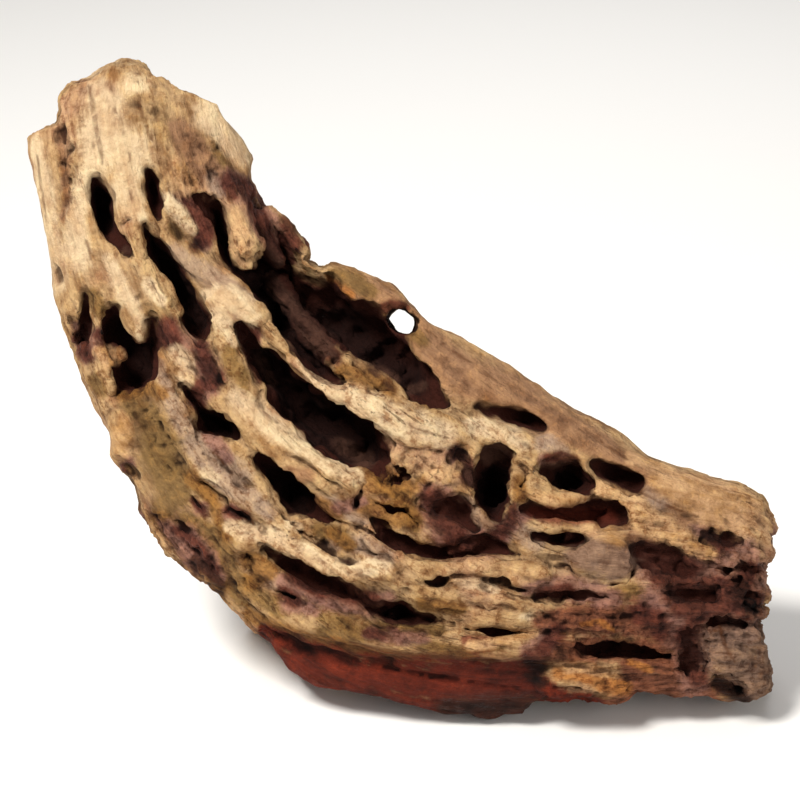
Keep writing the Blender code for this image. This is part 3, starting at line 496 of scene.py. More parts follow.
# Plum: damp stains beside the hollows, with painted shade there too, and painted shade in the recesses of the
# right end
PLUM = [
    [(86, 192, 3), (91, 184, 4), (95, 176, 4)],
    [(77, 203, 4), (84, 200, 4), (87, 194, 4), (89, 187, 3)],
    [(76.5, 201, 3), (78, 197.5, 2.5)],
    [(57, 195, 3), (63, 194, 4), (67, 188, 5), (68, 182, 4), (64, 178, 3)],
    [(53, 149, 4), (55, 143, 5), (50, 143, 3)],
    [(66, 141, 3), (68, 134, 4), (72, 128, 4), (66, 126, 3), (63, 121, 3), (67, 117, 2)],
    [(82, 147, 4), (86, 146, 4), (83, 140, 2), (86, 134, 2), (88, 128, 2)],
    [(77, 79, 2.5), (83, 77, 2.5)],
    [(154, 83, 5), (158, 77, 7), (162, 71, 5), (162, 65, 4), (175, 67, 4), (183, 74, 3), (184, 80, 2)],
    [(162, 102, 3), (166, 97, 3), (167, 90, 3)],
    [(258, 69, 4), (263, 67, 5), (268, 68, 2)],
    [(134, 154, 2.5), (138, 156, 2.5), (144, 156, 2)],
    [(197, 99, 2), (203, 99.5, 2.5), (208, 97.5, 2)],
    [(234, 63, 6), (242, 60, 8), (250, 57, 6), (240, 54, 5)],
    [(246, 48, 6), (254, 48, 7), (262, 49, 6), (270, 50, 5), (274, 57, 4)],
    [(252, 38, 4), (262, 37, 4), (272, 38, 3)],
    [(232, 40, 4), (238, 38, 5), (240, 33, 4)],
    [(246, 42.5, 4), (256, 42, 5), (268, 43, 4), (276, 45, 4)],
    [(250, 31, 6), (253, 24, 6), (254, 16, 4)],
    [(262, 15, 3), (266, 12, 4)],
    [(56, 72, 2), (61, 69, 2.5), (66, 64, 2.5), (72, 56, 2)],
    [(63, 83, 1.5), (66, 80, 2), (68, 77, 1.5)],
    [(190, 24, 3), (194, 20, 4), (196, 28, 3), (201, 33, 4)],
    [(160, 5, 5), (168, 3, 7), (177, 1, 9), (186, 4, 7)],
    [(100, 55, 3), (112, 49.5, 4), (122, 48, 4), (130, 46, 4)],
    [(129, 33, 2.5), (134, 32, 3)],
    [(97, 48, 3), (102, 45, 3)],
    [(112, 48, 3)],
    [(100, 188, 4), (103, 180, 4), (98, 176, 4)],
    [(102, 155, 4), (110, 142, 4), (117, 136, 3)],
    [(195, 48, 3), (205, 49, 3)],
    [(36, 97, 2.5), (40, 94, 2)],
    [(20, 143, 4), (23, 137, 3)],
    [(28, 145, 3)],
]
# Russet: the lower right, and the long red hollow
RUSSET = [
    [(196, 36, 5), (208, 38, 7), (222, 38, 8), (236, 38, 9), (244, 30, 8)],
    [(200, 26, 6), (226, 27, 5), (240, 24, 7), (246, 16, 6)],
    [(186, 77, 3), (192, 79, 3), (200, 77, 4), (212, 78, 5), (224, 78, 5)],
    [(228, 21, 5), (231, 12, 10), (243, 9, 11), (255, 7, 9)],
    [(190, 20, 4), (194, 10, 5), (212, 5, 4), (226, 6, 4)],
    [(67, 184, 3), (66, 179, 2)],
    [(55, 144, 4)],
    [(158, 66, 4), (164, 67, 4), (171, 67, 3)],
    [(138, 34, 2), (142, 31, 2)],
    [(166, 30, 2), (180, 30, 2)],
]
# Dull grey brown: the end knuckle, and the boulder
KNUCKLE = [
    [(264, 28, 10), (271, 20, 10), (276, 10, 7), (268, 5, 5)],
    [(260, 31, 4), (276, 31, 6)],
    [(279, 24, 6), (279, 12, 6)],
    [(208, 62, 5), (218, 62, 9), (227, 60, 6), (222, 54, 3)],
]
# Painted shade, nearly black: under the front foot, and in the deepest recesses
PAINTED_SHADE_BLACK = [
    [(160, 3, 5), (168, 1, 7), (177, -1, 9), (188, 2, 7)],
    [(190, 17, 2.5), (195, 14, 2.5)],
    [(64, 60.5, 2.5), (70, 55, 2.5), (74, 51, 2)],
    [(244, 47, 2), (251, 46.5, 2.5)],
    [(257, 70, 2), (262, 69, 3), (267, 67, 2)],
    [(262, 13, 3), (268, 10, 4), (272, 7, 3)],
    [(252, 27, 2), (252, 22, 2)],
    [(270, 51, 3), (274, 42, 3)],
    [(260, 37, 2), (266, 37, 2)],
]
# Red: the smooth base
REDDENED = [
    [(90, 34, 3), (98, 29, 5), (108, 25, 6), (120, 20, 8), (136, 16, 10), (155, 14, 12), (172, 15, 11),
     (188, 15, 9), (200, 9, 4), (215, 6, 4)],
    [(84, 33, 3), (94, 24, 7), (108, 16, 8), (125, 10, 9), (145, 4, 9), (166, 0, 7), (186, 2, 7)],
]
# Olive: the left flank, and the low ribs
OLIVE = [
    [(77, 139, 3), (78, 133, 4), (82, 129, 3), (83, 124, 2)],
    [(40, 121, 6), (46, 113, 7), (50, 104, 8), (52, 95, 8), (57, 86, 7), (52, 79, 6)],
    [(59, 93, 4), (64, 88, 3), (70, 83, 3)],
    [(60, 76, 4), (70, 70, 5), (75, 62, 5), (78, 53, 5), (82, 46, 4)],
    [(82, 52, 4), (88, 47, 4), (96, 42, 4)],
    [(108, 46, 3), (117, 37, 6), (125, 33, 5), (112, 33, 3), (140, 35, 3), (156, 34, 3)],
    [(135, 90, 4), (140, 85, 3), (146, 78, 4), (147, 73, 3)],
    [(150, 28, 3), (165, 26, 2), (180, 28, 2)],
    [(222, 48, 2), (230, 48.5, 4), (235, 46, 3)],
    [(117, 167, 4), (124, 165, 4), (130, 161, 3)],
    [(146, 146, 3), (150, 143, 3)],
    [(110, 72, 3), (118, 70, 4), (122, 66, 3)],
    [(25, 160, 3), (28, 154, 3)],
    [(26, 128, 3), (28, 124, 3)],
    [(56, 185, 3), (58, 182, 2)],
    [(72, 221, 2.5), (73, 215, 3), (78, 206, 3)],
]
# Grey: the grey rib, and streaks on the others
GREYED = [
    [(54, 122, 3), (58, 114, 4), (62, 106, 4), (67, 98, 4), (74, 90, 4), (84, 84, 4), (92, 78, 3)],
    [(56, 177, 3), (62, 171, 4), (70, 167, 4), (78, 163, 3), (85, 159, 2)],
    [(166, 82, 3), (171, 76, 3), (178, 70, 4), (186, 71, 4), (192, 67, 4)],
    [(108, 82, 3), (116, 81, 4), (124, 77, 3), (128, 75, 2)],
    [(92, 185, 2), (95, 178, 2), (96, 172, 2)],
    [(67, 108, 3), (73, 100, 5), (81, 92, 5)],
    [(70, 204, 3), (73, 199, 3)],
    [(263, 42, 2), (269, 42, 2)],
    [(50, 134, 2.5), (53, 126, 2.5)],
    [(90, 54, 3), (100, 49, 3)],
    [(115, 67, 3), (128, 66, 4), (136, 62, 4)],
    [(240, 82, 4), (236, 86, 3)],
    [(196, 104, 4), (204, 101, 2)],
]
# Amber: the broken log end, and golden fibres
AMBER = [
    [(201, 18, 3), (208, 18, 4), (214, 17, 4), (220, 13, 4), (226, 12, 3)],
    [(210, 36, 1.2), (217, 37, 1.5), (222, 34, 1)],
    [(228, 22, 1.5), (236, 19, 1.5)],
    [(116, 163, 2.5), (122, 160, 2.5)],
    [(82, 179, 1.5), (83, 175, 2)],
]
# Umber: the upper right flank, and the trough behind the left strip
UMBER = [
    [(124, 160, 6), (136, 160, 6), (152, 142, 8), (164, 130, 10), (182, 124, 9), (200, 112, 8), (216, 104, 6),
     (232, 92, 6), (246, 84, 8), (262, 77, 7), (274, 76, 5)],
    [(58, 222, 5), (64, 214, 6), (70, 206, 5), (58, 208, 4)],
    [(13, 221, 2.5), (15, 214, 3), (15, 204, 2), (16, 194, 2), (14, 189, 2)],
    [(22, 238, 2), (24, 236, 2)],
    [(96, 92, 3), (106, 92, 3)],
    [(139, 92, 4), (144, 88, 3)],
]

# How finely the surface is made
SKIN_SIZE = 0.95                # an even skin of squares this wide, in millimetres of the drawing
SKIN_SOFTENING = 2              # rounds of smoothing over the even skin
TRIANGLE_LIMIT = 190000
SECTION_STATIONS = 9            # rings from one given cross section to the next
RING_SIDES = 72
SWEEP_SIDES = 24
SWEEP_PIECES = 7                # rings from one given point of a form to the next
BORE_RINGS = 41                 # rings from the front end of a round bore to the back

# Small cuts and forms, and the worn look of all the cuts, in millimetres of the drawing
SMALL_WIDENING = 1.25           # small cuts close more under the even skin
SMALL_ROOT = 2.5                # a small form goes at least this deep into the wood
RAGGED_SIZE = 5.5               # a cut's wall wanders in and out over this length
RAGGED_CUT = 0.28               # by this part of its width
SHOULDER_WIDTH = 3.6            # a hollow's worn shoulder is this much wider than the hollow
SHOULDER_DEPTH = 0.32           # and this deep for the hollow's depth, up to the next
DEEPEST_SHOULDER = 5.5
GRAIN_WIDTH = 100.0             # the piece is counted as this wide across the grain all along

# Noise: points of the random lattice, and how each finer layer is made from the one before it
SEED = 7
LATTICE_POINTS = 4096
LATTICE_PRIMES = np.array([73856093, 19349663, 83492791])
LAYER_FINENESS, LAYER_STRENGTH, LAYER_SHIFT = 2.1, 0.55, 17.3

# Weathering: size down, across and out of the grain, and height, in millimetres
FLUTE_SIZE, FLUTE_HEIGHT = (60.0, 7.5, 10.0), 1.0
CREST_SIZE, CREST_HEIGHT = (44.0, 4.6, 6.0), 1.6
FIBRE_SIZE, FIBRE_HEIGHT = (20.0, 2.2, 2.8), 0.35
LUMP_SIZE, LUMP_HEIGHT = 10.0, 1.1
CRUMB_SIZE, CRUMB_HEIGHT = (11.0, 3.0, 4.0), 1.3
BREAK_SIZE, BREAK_HEIGHT = 6.5, 3.4
# Crests, crumbs and breaks are folded noise, which stands this high along its folds
CREST_FOLD, CRUMB_FOLD, BREAK_FOLD = 0.5, 0.35, 0.4
# Each kind of relief reads another part of the noise
CREST_SHIFT, FIBRE_SHIFT, CRUMB_SHIFT, BREAK_SHIFT = 31.0, 53.0, 17.0, 71.0
CALM_SHARE = 0.6                # how much of the relief is gone where the surface is smooth

# Behind the front the stains and the painted shade wander from the drawing: how far, over what length, and
# from where on
WANDER, WANDER_SIZE = 16.0, 24.0
WANDER_START, WANDER_REACH = 14.0, 22.0
WANDER_SHIFTS = (11.0, 43.0)
# Small stains and small patches of painted shade fade out towards the back, from the first radius down to the
# second
LASTING_STAIN, FADED_STAIN = 6.0, 3.0
FADE_START, FADE_REACH = 0.0, 18.0

# A stroke's colour is full to this part of its radius and gone at the second
STROKE_CORE, STROKE_FADE = 0.0, 2.0

# A point is outside the uncut skin when the way to the skin runs against the skin's normal by this
OUTSIDE_COSINE = -0.9
# Heights above the smoothed surroundings that the finish reads, and how many rounds smooth them
HEIGHTS = [("edge", 3), ("crest", 20), ("rib", 150)]

# Colours of the bare wood, light and dark
BARE_WOOD = ("#bf9c72", "#855f3c")
# Stains, some with painted shade in them: name, strokes, light tone, dark tone, strength. Later ones lie over
# earlier ones.
ZONES = [
    ("umber", UMBER, "#9c7456", "#6c4932", 0.92),
    ("greyed", GREYED, "#a98f7b", "#745a4a", 0.8),
    ("olive", OLIVE, "#806238", "#4a3216", 0.88),
    ("ochre", OCHRE, "#8c6232", "#371c0d", 0.9),
    ("russet", RUSSET, "#784332", "#32160e", 0.92),
    # smoky brown, partly painted shade around the hollows and on the right end
    ("smoky", SMOKY, "#946a5e", "#3c211b", 0.9),
    ("reddened", REDDENED, "#602315", "#2e1009", 1.0),
    # plum: damp stains, and painted shade beside the hollows and in the right end's recesses
    ("plum", PLUM, "#56291f", "#210e0a", 0.9),
    ("knuckle", KNUCKLE, "#84695a", "#4c352c", 0.92),
    # painted shade, nearly black, under the front foot and in the deepest recesses
    ("sooty", PAINTED_SHADE_BLACK, "#34190f", "#130806", 0.9),
    ("amber", AMBER, "#b0713a", "#683c1c", 0.88),
    ("honey", HONEY, "#d2a67a", "#a27648", 0.85),
    ("bleached", BLEACHED, "#e6caa3", "#cba680", 0.82),
]
# Colours laid over the stains and in the hollows, among them painted highlights on the crests, painted shade
# in the lows, at the rims of the hollows and deep in them, and painted light on their walls
BLUSH = "#c08a78"
MOSS = "#86693a"
GRAIN_SHADE = "#80572f"
GRIT_COLOUR = "#94683f"
CREST_LIGHT = "#fff2dc"
VALLEY_SHADE = "#4c2814"
CRACK_COLOUR = "#5a3218"
# painted shade at the rims of the hollows
PORE_COLOUR = "#4a2c18"
RIM_SHADE = "#3c1a11"
# painted shade deep in the hollows, over the wood's own dark colour there
HOLLOW_SHADE_AND_STAIN = "#200b06"
LIT_INSIDE = ("#54382c", "#28130d")
# painted light on the red walls inside the hollows
LIT_RED_INSIDE = "#5e2416"
# Gloss of the wood
SPECULAR_LEVEL = 0.14
DRY_ROUGHNESS, DAMP_ROUGHNESS = 0.82, 0.42
# The floor, in metres
FLOOR_WIDTH = 8.0
FLOOR_COLOUR = "#f4f3f0"
FLOOR_ROUGHNESS, FLOOR_SPECULAR_LEVEL = 0.9, 0.2

# Noise down the grain: size down, across and out of it in millimetres, detail, softness, shift
GRAIN_NOISE = {
    "streak": ((34.0, 2.4, 3.2), 4.0, 0.6, 0.0),
    "fibre": ((14.0, 0.55, 0.8), 3.0, 0.6, 3.7),
    "slit": ((36.0, 1.5, 2.2), 2.0, 0.5, 9.1),
    "slit gate": ((30.0, 9.0, 9.0), 2.0, 0.5, 5.3),
    "speck": ((1.9, 0.9, 1.0), 2.0, 0.5, 21.4),
    "speck gate": ((13.0, 7.0, 8.0), 3.0, 0.5, 12.9),
    "broad": ((40.0, 14.0, 16.0), 3.0, 0.5, 7.7),
    "ragged": ((6.5, 2.0, 2.4), 6.0, 0.72, 1.9),
}
# Noise that is alike in all directions: size in millimetres, detail, softness, shift
EVEN_NOISE = {
    "patch": (9.0, 5.0, 0.62, 4.1),
    "crumb": (1.7, 3.0, 0.6, 8.8),
    "grit": (3.4, 6.0, 0.72, 6.2),
    "cloud": (30.0, 3.0, 0.5, 2.6),
}
# Patterns mixed from the others, each with its share
MIXTURES = {
    "torn": [("ragged", 0.5), ("patch", 0.5)],
    "mottle": [("patch", 0.5), ("streak", 0.25), ("tone", 0.25)],
    "fine": [("streak", 0.2), ("fibre", 0.2), ("crumb", 0.2), ("ragged", 0.4)],
}
# Where a noise starts to show and where it is full
SLIT_RANGE, SLIT_GATE_RANGE = (0.63, 0.69), (0.5, 0.6)
SPECK_RANGE, SPECK_GATE_RANGE = (0.62, 0.7), (0.54, 0.66)
MOTTLE_RANGE = (0.36, 0.58)
DAMP_RANGE = (0.5, 0.62)
FISSURE_RANGE = (0.2, 0.9)
ZONE_EDGE = (0.25, 0.85)
# How far the grain tears the edge of a zone
ZONE_REACH, INSIDE_REACH, DAMP_REACH = 1.6, 1.2, 0.9
# Slow changes over the bare wood: start, full, share, colour
CLOUDS = [(0.52, 0.72, 0.35, BLUSH), (0.46, 0.3, 0.35, MOSS)]
# Marks over the stains: what they follow, start, full, share, colour, way, weaker where calm
MARKS = [
    ("fine", 0.5, 0.38, 0.65, GRAIN_SHADE, "MULTIPLY", True),
    ("grit", 0.5, 0.62, 0.6, GRIT_COLOUR, "MULTIPLY", True),
    ("grit", 0.47, 0.38, 0.35, CREST_LIGHT, "SOFT_LIGHT", False),
    ("fine", 0.52, 0.62, 0.3, CREST_LIGHT, "SOFT_LIGHT", False),
    ("crest", 0.1, 0.9, 0.35, CREST_LIGHT, "SOFT_LIGHT", False),
    ("rib", 0.0, -3.0, 0.85, VALLEY_SHADE, "MULTIPLY", False),
    ("crest", -0.1, -1.3, 0.65, VALLEY_SHADE, "MULTIPLY", False),
    ("edge", -0.08, -0.4, 0.3, VALLEY_SHADE, "MULTIPLY", False),
]
CALM_MARKS = 0.3                # the share of such a mark that is left in a calm place
CRACK_SHARE, PORE_SHARE, FISSURE_SHARE = 0.5, 0.6, 0.6
# Depths below the uncut skin, in millimetres, where the painted shade of the rims and the depths, and the
# painted light on the walls, start and where they are full
RIM_DEPTHS, DARK_DEPTHS, INSIDE_DEPTHS = (2.0, 7.0), (9.0, 20.0), (3.0, 6.0)
RIM_SWING = 8.0                 # the rim of a hollow wanders over this much depth
INSIDE_SHARE = 0.8
# Fine relief: the share of each pattern, the dents, and its height in metres
RELIEF = [("fibre", 0.3), ("streak", 0.5), ("ragged", 1.2), ("crumb", 0.6), ("patch", 0.8), ("grit", 0.9)]
CRACK_DENT, PORE_DENT = 0.8, 0.6
RELIEF_HEIGHT = 0.0016

# Lights: name, place, size in metres, power in watts, colour
LIGHTS = [
    ("key light", (-0.55, -0.6, 1.25), 0.35, 26.5, (1.0, 0.97, 0.93)),
    ("fill light", (0.8, -1.0, 0.6), 0.9, 5.5, (1.0, 0.97, 0.94)),
    ("back light", (0.2, 0.9, 1.0), 0.8, 5.0, (0.98, 0.98, 1.0)),
]
SKY_STRENGTH = 0.26
SKY_COLOUR = (1.0, 0.98, 0.96, 1)
SENSOR_WIDTH = 36.0             # in millimetres, as cameras give it
PICTURE_WIDTH = 300.7           # how much of the drawing the picture is wide, in its millimetres


def select_only(obj):
    """Make this the one selected and active object."""
    bpy.ops.object.select_all(action="DESELECT")
    obj.select_set(True)
    bpy.context.view_layer.objects.active = obj


def apply_modifier(obj, kind, **settings):
    """Add one modifier with the given settings and apply it."""
    select_only(obj)
    modifier = obj.modifiers.new(kind.lower(), kind)
    for name, value in settings.items():
        setattr(modifier, name, value)
    bpy.ops.object.modifier_apply(modifier=modifier.name)


def smooth_path(points, pieces):
    """Points along a smooth curve through the given ones, with every number smoothed alike."""
    rows = [np.array(p, dtype=float) for p in points]
    rows = [2 * rows[0] - rows[1]] + rows + [2 * rows[-1] - rows[-2]]
    path = []
    for a, b, c, d in zip(rows, rows[1:], rows[2:], rows[3:]):
        for step in range(pieces):
            t = step / pieces
            path.append(0.5 * (2 * b + (c - a) * t + (2 * a - 5 * b + 4 * c - d) * t ** 2
                               + (3 * b - a - 3 * c + d) * t ** 3))
    path.append(rows[-2])
    return path


LATTICE = np.random.default_rng(SEED).uniform(-1, 1, LATTICE_POINTS)


def soft_noise(places):
    """A smooth random value between -1 and 1 for each place, one lump to a unit."""
    cell = np.floor(places).astype(np.int64)
    part = places - cell
    ease = part * part * (3 - 2 * part)
    value = np.zeros(len(places))
    for corner in range(8):
        step = np.array([corner & 1, corner >> 1 & 1, corner >> 2 & 1])
        weight = np.prod(np.where(step, ease, 1 - ease), axis=1)
        at = (cell + step) * LATTICE_PRIMES
        value += weight * LATTICE[(at[:, 0] ^ at[:, 1] ^ at[:, 2]) % LATTICE_POINTS]
    return value


def layered_noise(places, layers):
    """Soft noise with finer and weaker layers laid over it."""
    value = np.zeros(len(places))
    for layer in range(layers):
        finer = places * LAYER_FINENESS ** layer + LAYER_SHIFT * layer
        value += soft_noise(finer) * LAYER_STRENGTH ** layer
    return value


def extrude_rings(name, rings):
    """A closed body: a disc is laid on the first ring and extruded from ring to ring."""
    bpy.ops.object.select_all(action="DESELECT")
    bpy.ops.mesh.primitive_circle_add(vertices=len(rings[0]), fill_type="NGON")
    obj = bpy.context.object
    obj.name = name
    bpy.ops.object.mode_set(mode="EDIT")
    for number, ring in enumerate(rings):
        if number:
            bpy.ops.mesh.extrude_region_move()
        bm = bmesh.from_edit_mesh(obj.data)
        chosen = [vert for vert in bm.verts if vert.select]
        for vert, point in zip(chosen, ring):
            vert.co = point
        bmesh.update_edit_mesh(obj.data)
    bpy.ops.mesh.select_all(action="SELECT")
    bpy.ops.mesh.normals_make_consistent(inside=False)
    bpy.ops.object.mode_set(mode="OBJECT")
    return obj


def signed_power(value, power):
    return math.copysign(abs(value) ** power, value)


def middle_w(v):
    """The w of the piece's middle at this height."""
    return FORWARD_LEAN * (v - LEAN_LEVEL)


def smooth_sections(pieces):
    """The cross sections with more set between them: outer u and v, inner u and v, two depths."""
    rows = [(o[0], o[1], i[0], i[1], front, back) for o, i, front, back in SECTIONS]
    return smooth_path(rows, pieces)


def make_body():
    """The bent log, drawn out down the grain through the cross sections."""
    rings = []
    for ou, ov, iu, iv, front, back in smooth_sections(SECTION_STATIONS):
        ring = []
        for side in range(RING_SIDES):
            turn = 2 * math.pi * side / RING_SIDES
            across = signed_power(math.cos(turn), 2 / SECTION_FULLNESS)
            out = signed_power(math.sin(turn), 2 / SECTION_FULLNESS)
            u = (ou + iu) / 2 + across * (iu - ou) / 2
            v = (ov + iv) / 2 + across * (iv - ov) / 2
            ring.append((u, v, middle_w(v) + out * (front if out > 0 else back)))
        rings.append(ring)
    return extrude_rings("body", rings)


def make_outline_block():
    """A tall block with the outline of the front, which trims the body."""
    rings = [[(u, v, w) for u, v in OUTLINE] for w in (-THROUGH, THROUGH)]
    return extrude_rings("outline block", rings)


def surface_finder(obj, side):
    """A function that gives the w of the skin at a place of the drawing, from the front or the back."""
    tree = BVHTree.FromObject(obj, bpy.context.evaluated_depsgraph_get())

    def skin_w(u, v):
        hit = tree.ray_cast(Vector((u, v, THROUGH * side)), Vector((0, 0, -side)))[0]
        return hit.z if hit else middle_w(v)

    return skin_w


def roughen(rings):
    """Let the wall of a cutter wander in and out."""
    points = np.array(rings)
    centres = points.mean(axis=1, keepdims=True)
    push = layered_noise(points.reshape(-1, 3) / RAGGED_SIZE, 3).reshape(points.shape[:2])
    return centres + (points - centres) * (1 + RAGGED_CUT * push[:, :, None])


def sweep(name, path, ragged=False):
    """A closed form along a path of (u, v, w, half width, half depth), with rounded ends."""
    rows = smooth_path(path, SWEEP_PIECES)
    rings = []
    for k, (u, v, w, half_width, half_depth) in enumerate(rows):
        before = rows[max(k - 1, 0)]
        after = rows[min(k + 1, len(rows) - 1)]
        along = Vector((after[0] - before[0], after[1] - before[1], 0)).normalized()
        across = Vector((-along.y, along.x, 0))
        ends = [(0, 1)]
        if k == 0:
            ends = [(-reach, size) for reach, size in reversed(ROUND_END)] + ends
        if k == len(rows) - 1:
            ends = ends + ROUND_END
        for shift, size in ends:
            centre = Vector((u, v, w)) + along * (shift * half_width)
            ring = []
            for side in range(SWEEP_SIDES):
                turn = 2 * math.pi * side / SWEEP_SIDES
                ring.append(centre + across * (math.cos(turn) * half_width * size)
                            + Vector((0, 0, math.sin(turn) * half_depth * size)))
            rings.append(ring)
    return extrude_rings(name, roughen(rings) if ragged else rings)


def raised_form(name, points, skin_w, side, root=LEAST_RIDGE_DEPTH):
    """A ridge whose crest stands the given height out of the skin, sunk well into the wood."""
    path = []
    for u, v, width, height in points:
        half_depth = max(width * RIDGE_DEPTH, root)
        path.append((u, v, skin_w(u, v) + side * (height - half_depth), width / 2 + 1, half_depth))
    return sweep(name, path)


def hollow_form(name, points, skin_w, side, widening=HOLLOW_WIDENING):
    """A cutter as wide as given at the skin and as deep as given below it."""
    path = []
    for u, v, width, depth in points:
        rise = CUTTER_RISE * depth + CUTTER_CLEARANCE
        half_depth = (depth + rise) / 2
        middle = skin_w(u, v) + side * (rise - half_depth)
        path.append((u, v, middle, width / 2 * widening, half_depth))
    return sweep(name, path, ragged=True)


def shoulder_form(name, points, skin_w, side):
    """A wide shallow cutter that wears away the edges of a hollow."""
    worn = [(u, v, width + SHOULDER_WIDTH, min(depth * SHOULDER_DEPTH, DEEPEST_SHOULDER))
            for u, v, width, depth in points]
    return hollow_form(name + " shoulder", worn, skin_w, side, 1.0)


def bore(name, entry, leave, half_long, half_short, turn):
    """A straight oval cutter that runs right through, front to back."""
    long_way = Vector((math.cos(math.radians(turn)), math.sin(math.radians(turn)), 0))
    short_way = Vector((-long_way.y, long_way.x, 0))
    rings = []
    for share in np.linspace(0, 1, BORE_RINGS):
        u, v = Vector(leave).lerp(Vector(entry), share)
        w = THROUGH * (2 * share - 1)
        ring = []
        for side in range(SWEEP_SIDES):
            angle = 2 * math.pi * side / SWEEP_SIDES
            ring.append(Vector((u, v, w)) + long_way * (math.cos(angle) * half_long)
                        + short_way * (math.sin(angle) * half_short))
        rings.append(ring)
    return extrude_rings(name, roughen(rings))


def combine(target, others, operation):
    """One Boolean of the target with all the others, which are then removed."""
    group = bpy.data.collections.new("operands")
    for other in others:
        group.objects.link(other)
    apply_modifier(target, "BOOLEAN", operation=operation, operand_type="COLLECTION",
                   collection=group, solver="MANIFOLD")
    for other in others:
        bpy.data.objects.remove(other)
    bpy.data.collections.remove(group)


def drop_loose_crumbs(obj):
    """Delete what the cuts left hanging free of the main piece."""
    select_only(obj)
    bpy.ops.object.mode_set(mode="EDIT")
    bpy.ops.mesh.select_all(action="DESELECT")
    bpy.ops.object.mode_set(mode="OBJECT")
    points = positions(obj)
    obj.data.vertices[int(np.argmax(points[:, 0]))].select = True
    bpy.ops.object.mode_set(mode="EDIT")
    bpy.ops.mesh.select_mode(type="VERT")
    bpy.ops.mesh.select_linked()
    bpy.ops.mesh.select_all(action="INVERT")
    bpy.ops.mesh.delete(type="VERT")
    bpy.ops.object.mode_set(mode="OBJECT")


def positions(obj):
    """The mesh's points as one array."""
    points = np.empty(len(obj.data.vertices) * 3)
    obj.data.vertices.foreach_get("co", points)
    return points.reshape(-1, 3)


def set_positions(obj, points):
    obj.data.vertices.foreach_set("co", points.ravel())
    obj.data.update()


def point_normals(obj):
    normals = np.empty(len(obj.data.vertices) * 3)
    obj.data.vertex_normals.foreach_get("vector", normals)
    return normals.reshape(-1, 3)


def smoothed(obj, points, rounds):
    """The points after each has moved to the mean of its neighbours, some rounds over."""
    edges = np.empty(len(obj.data.edges) * 2, dtype=np.int32)
    obj.data.edges.foreach_get("vertices", edges)
    start, end = edges.reshape(-1, 2).T
    count = len(points)
    neighbours = np.bincount(start, minlength=count) + np.bincount(end, minlength=count)
    for _ in range(rounds):
        total = np.empty_like(points)
        for axis in range(3):
            total[:, axis] = (np.bincount(start, points[end, axis], count)
                              + np.bincount(end, points[start, axis], count))
        points = 0.5 * points + 0.5 * total / neighbours[:, None]
    return points


def grain_places(points):
    """How far down the grain, across it and out of the drawing each point lies, in millimetres."""
    rows = smooth_sections(SECTION_STATIONS)
    u, v, w = points.T
    along = np.zeros(len(points))
    across = np.zeros(len(points))
    found = np.zeros(len(points), dtype=bool)
    travelled = 0.0
    last_side = None
    last_across = None
    last_middle = None
    for row in rows:
        outer, inner = row[:2], row[2:4]
        chord = inner - outer
        width = np.hypot(*chord)
        side = (chord[0] * (v - outer[1]) - chord[1] * (u - outer[0])) / width
        share = ((u - outer[0]) * chord[0] + (v - outer[1]) * chord[1]) / width ** 2
        middle = (outer + inner) / 2
        if last_side is None:
            here = side >= 0
            along[here] = -side[here]
            across[here] = share[here]
            found |= here
        else:
            stretch = np.hypot(*(middle - last_middle))
            here = ~found & (side >= 0)
            part = last_side[here] / (last_side[here] - side[here])
            along[here] = travelled + stretch * part
            across[here] = last_across[here] * (1 - part) + share[here] * part
            found |= here
            travelled += stretch
        last_side, last_across, last_middle = side, share, middle
    along[~found] = travelled - last_side[~found]
    across[~found] = last_across[~found]
    return np.column_stack((along, across * GRAIN_WIDTH, w))


def far_behind(points, start, reach):
    """How far each point lies behind the front: 0 up to the start, and 1 a reach further back."""
    return np.clip((middle_w(points[:, 1]) + start - points[:, 2]) / reach, 0, 1)


def wandering(points):
    """The points' places in the drawing, shifted this way and that behind the front."""
    behind = far_behind(points, WANDER_START, WANDER_REACH)
    shift = [layered_noise(points / WANDER_SIZE + offset, 2) for offset in WANDER_SHIFTS]
    return points[:, :2] + WANDER * behind[:, None] * np.column_stack(shift)


def stroke_field(points, strokes, behind=0.0):
    """How strongly each point lies on any of the strokes of (u, v, radius), from 0 to 1.

    Where a point lies behind the front, the small strokes are left out.
    """
    places = points[:, :2]
    field = np.zeros(len(places))
    for stroke in strokes:
        for a, b in zip(stroke, stroke[1:] or stroke):
            start = np.array(a[:2], dtype=float)
            run = np.array(b[:2], dtype=float) - start
            part = np.clip((places - start) @ run / max(run @ run, 1e-9), 0, 1)
            distance = np.hypot(*(places - start - part[:, None] * run).T)
            radius = a[2] + part * (b[2] - a[2])
            fade = np.clip((STROKE_FADE - distance / radius) / (STROKE_FADE - STROKE_CORE), 0, 1)
            lasting = np.clip((radius - FADED_STAIN) / (LASTING_STAIN - FADED_STAIN), 0, 1)
            field = np.maximum(field, fade * fade * (3 - 2 * fade) * (1 - behind * (1 - lasting)))
    return field


def place(points):
    """Drawing millimetres to metres: widen away from the eye, tilt back, set the ground at z = 0."""
    u, v, w = (points * SCALE * MM).T
    spread = 1 - w / EYE_DISTANCE
    right = (u - AIM_U * SCALE * MM) * spread
    up = (v - AIM_V * SCALE * MM) * spread
    tilt = math.radians(TILT_BACK)
    ground_w = GROUND_W * SCALE * MM
    ground_up = -AIM_V * SCALE * MM * (1 - ground_w / EYE_DISTANCE)
    ground = ground_up * math.cos(tilt) + ground_w * math.sin(tilt)
    return np.column_stack((right, up * math.sin(tilt) - w * math.cos(tilt),
                            up * math.cos(tilt) + w * math.sin(tilt) - ground))


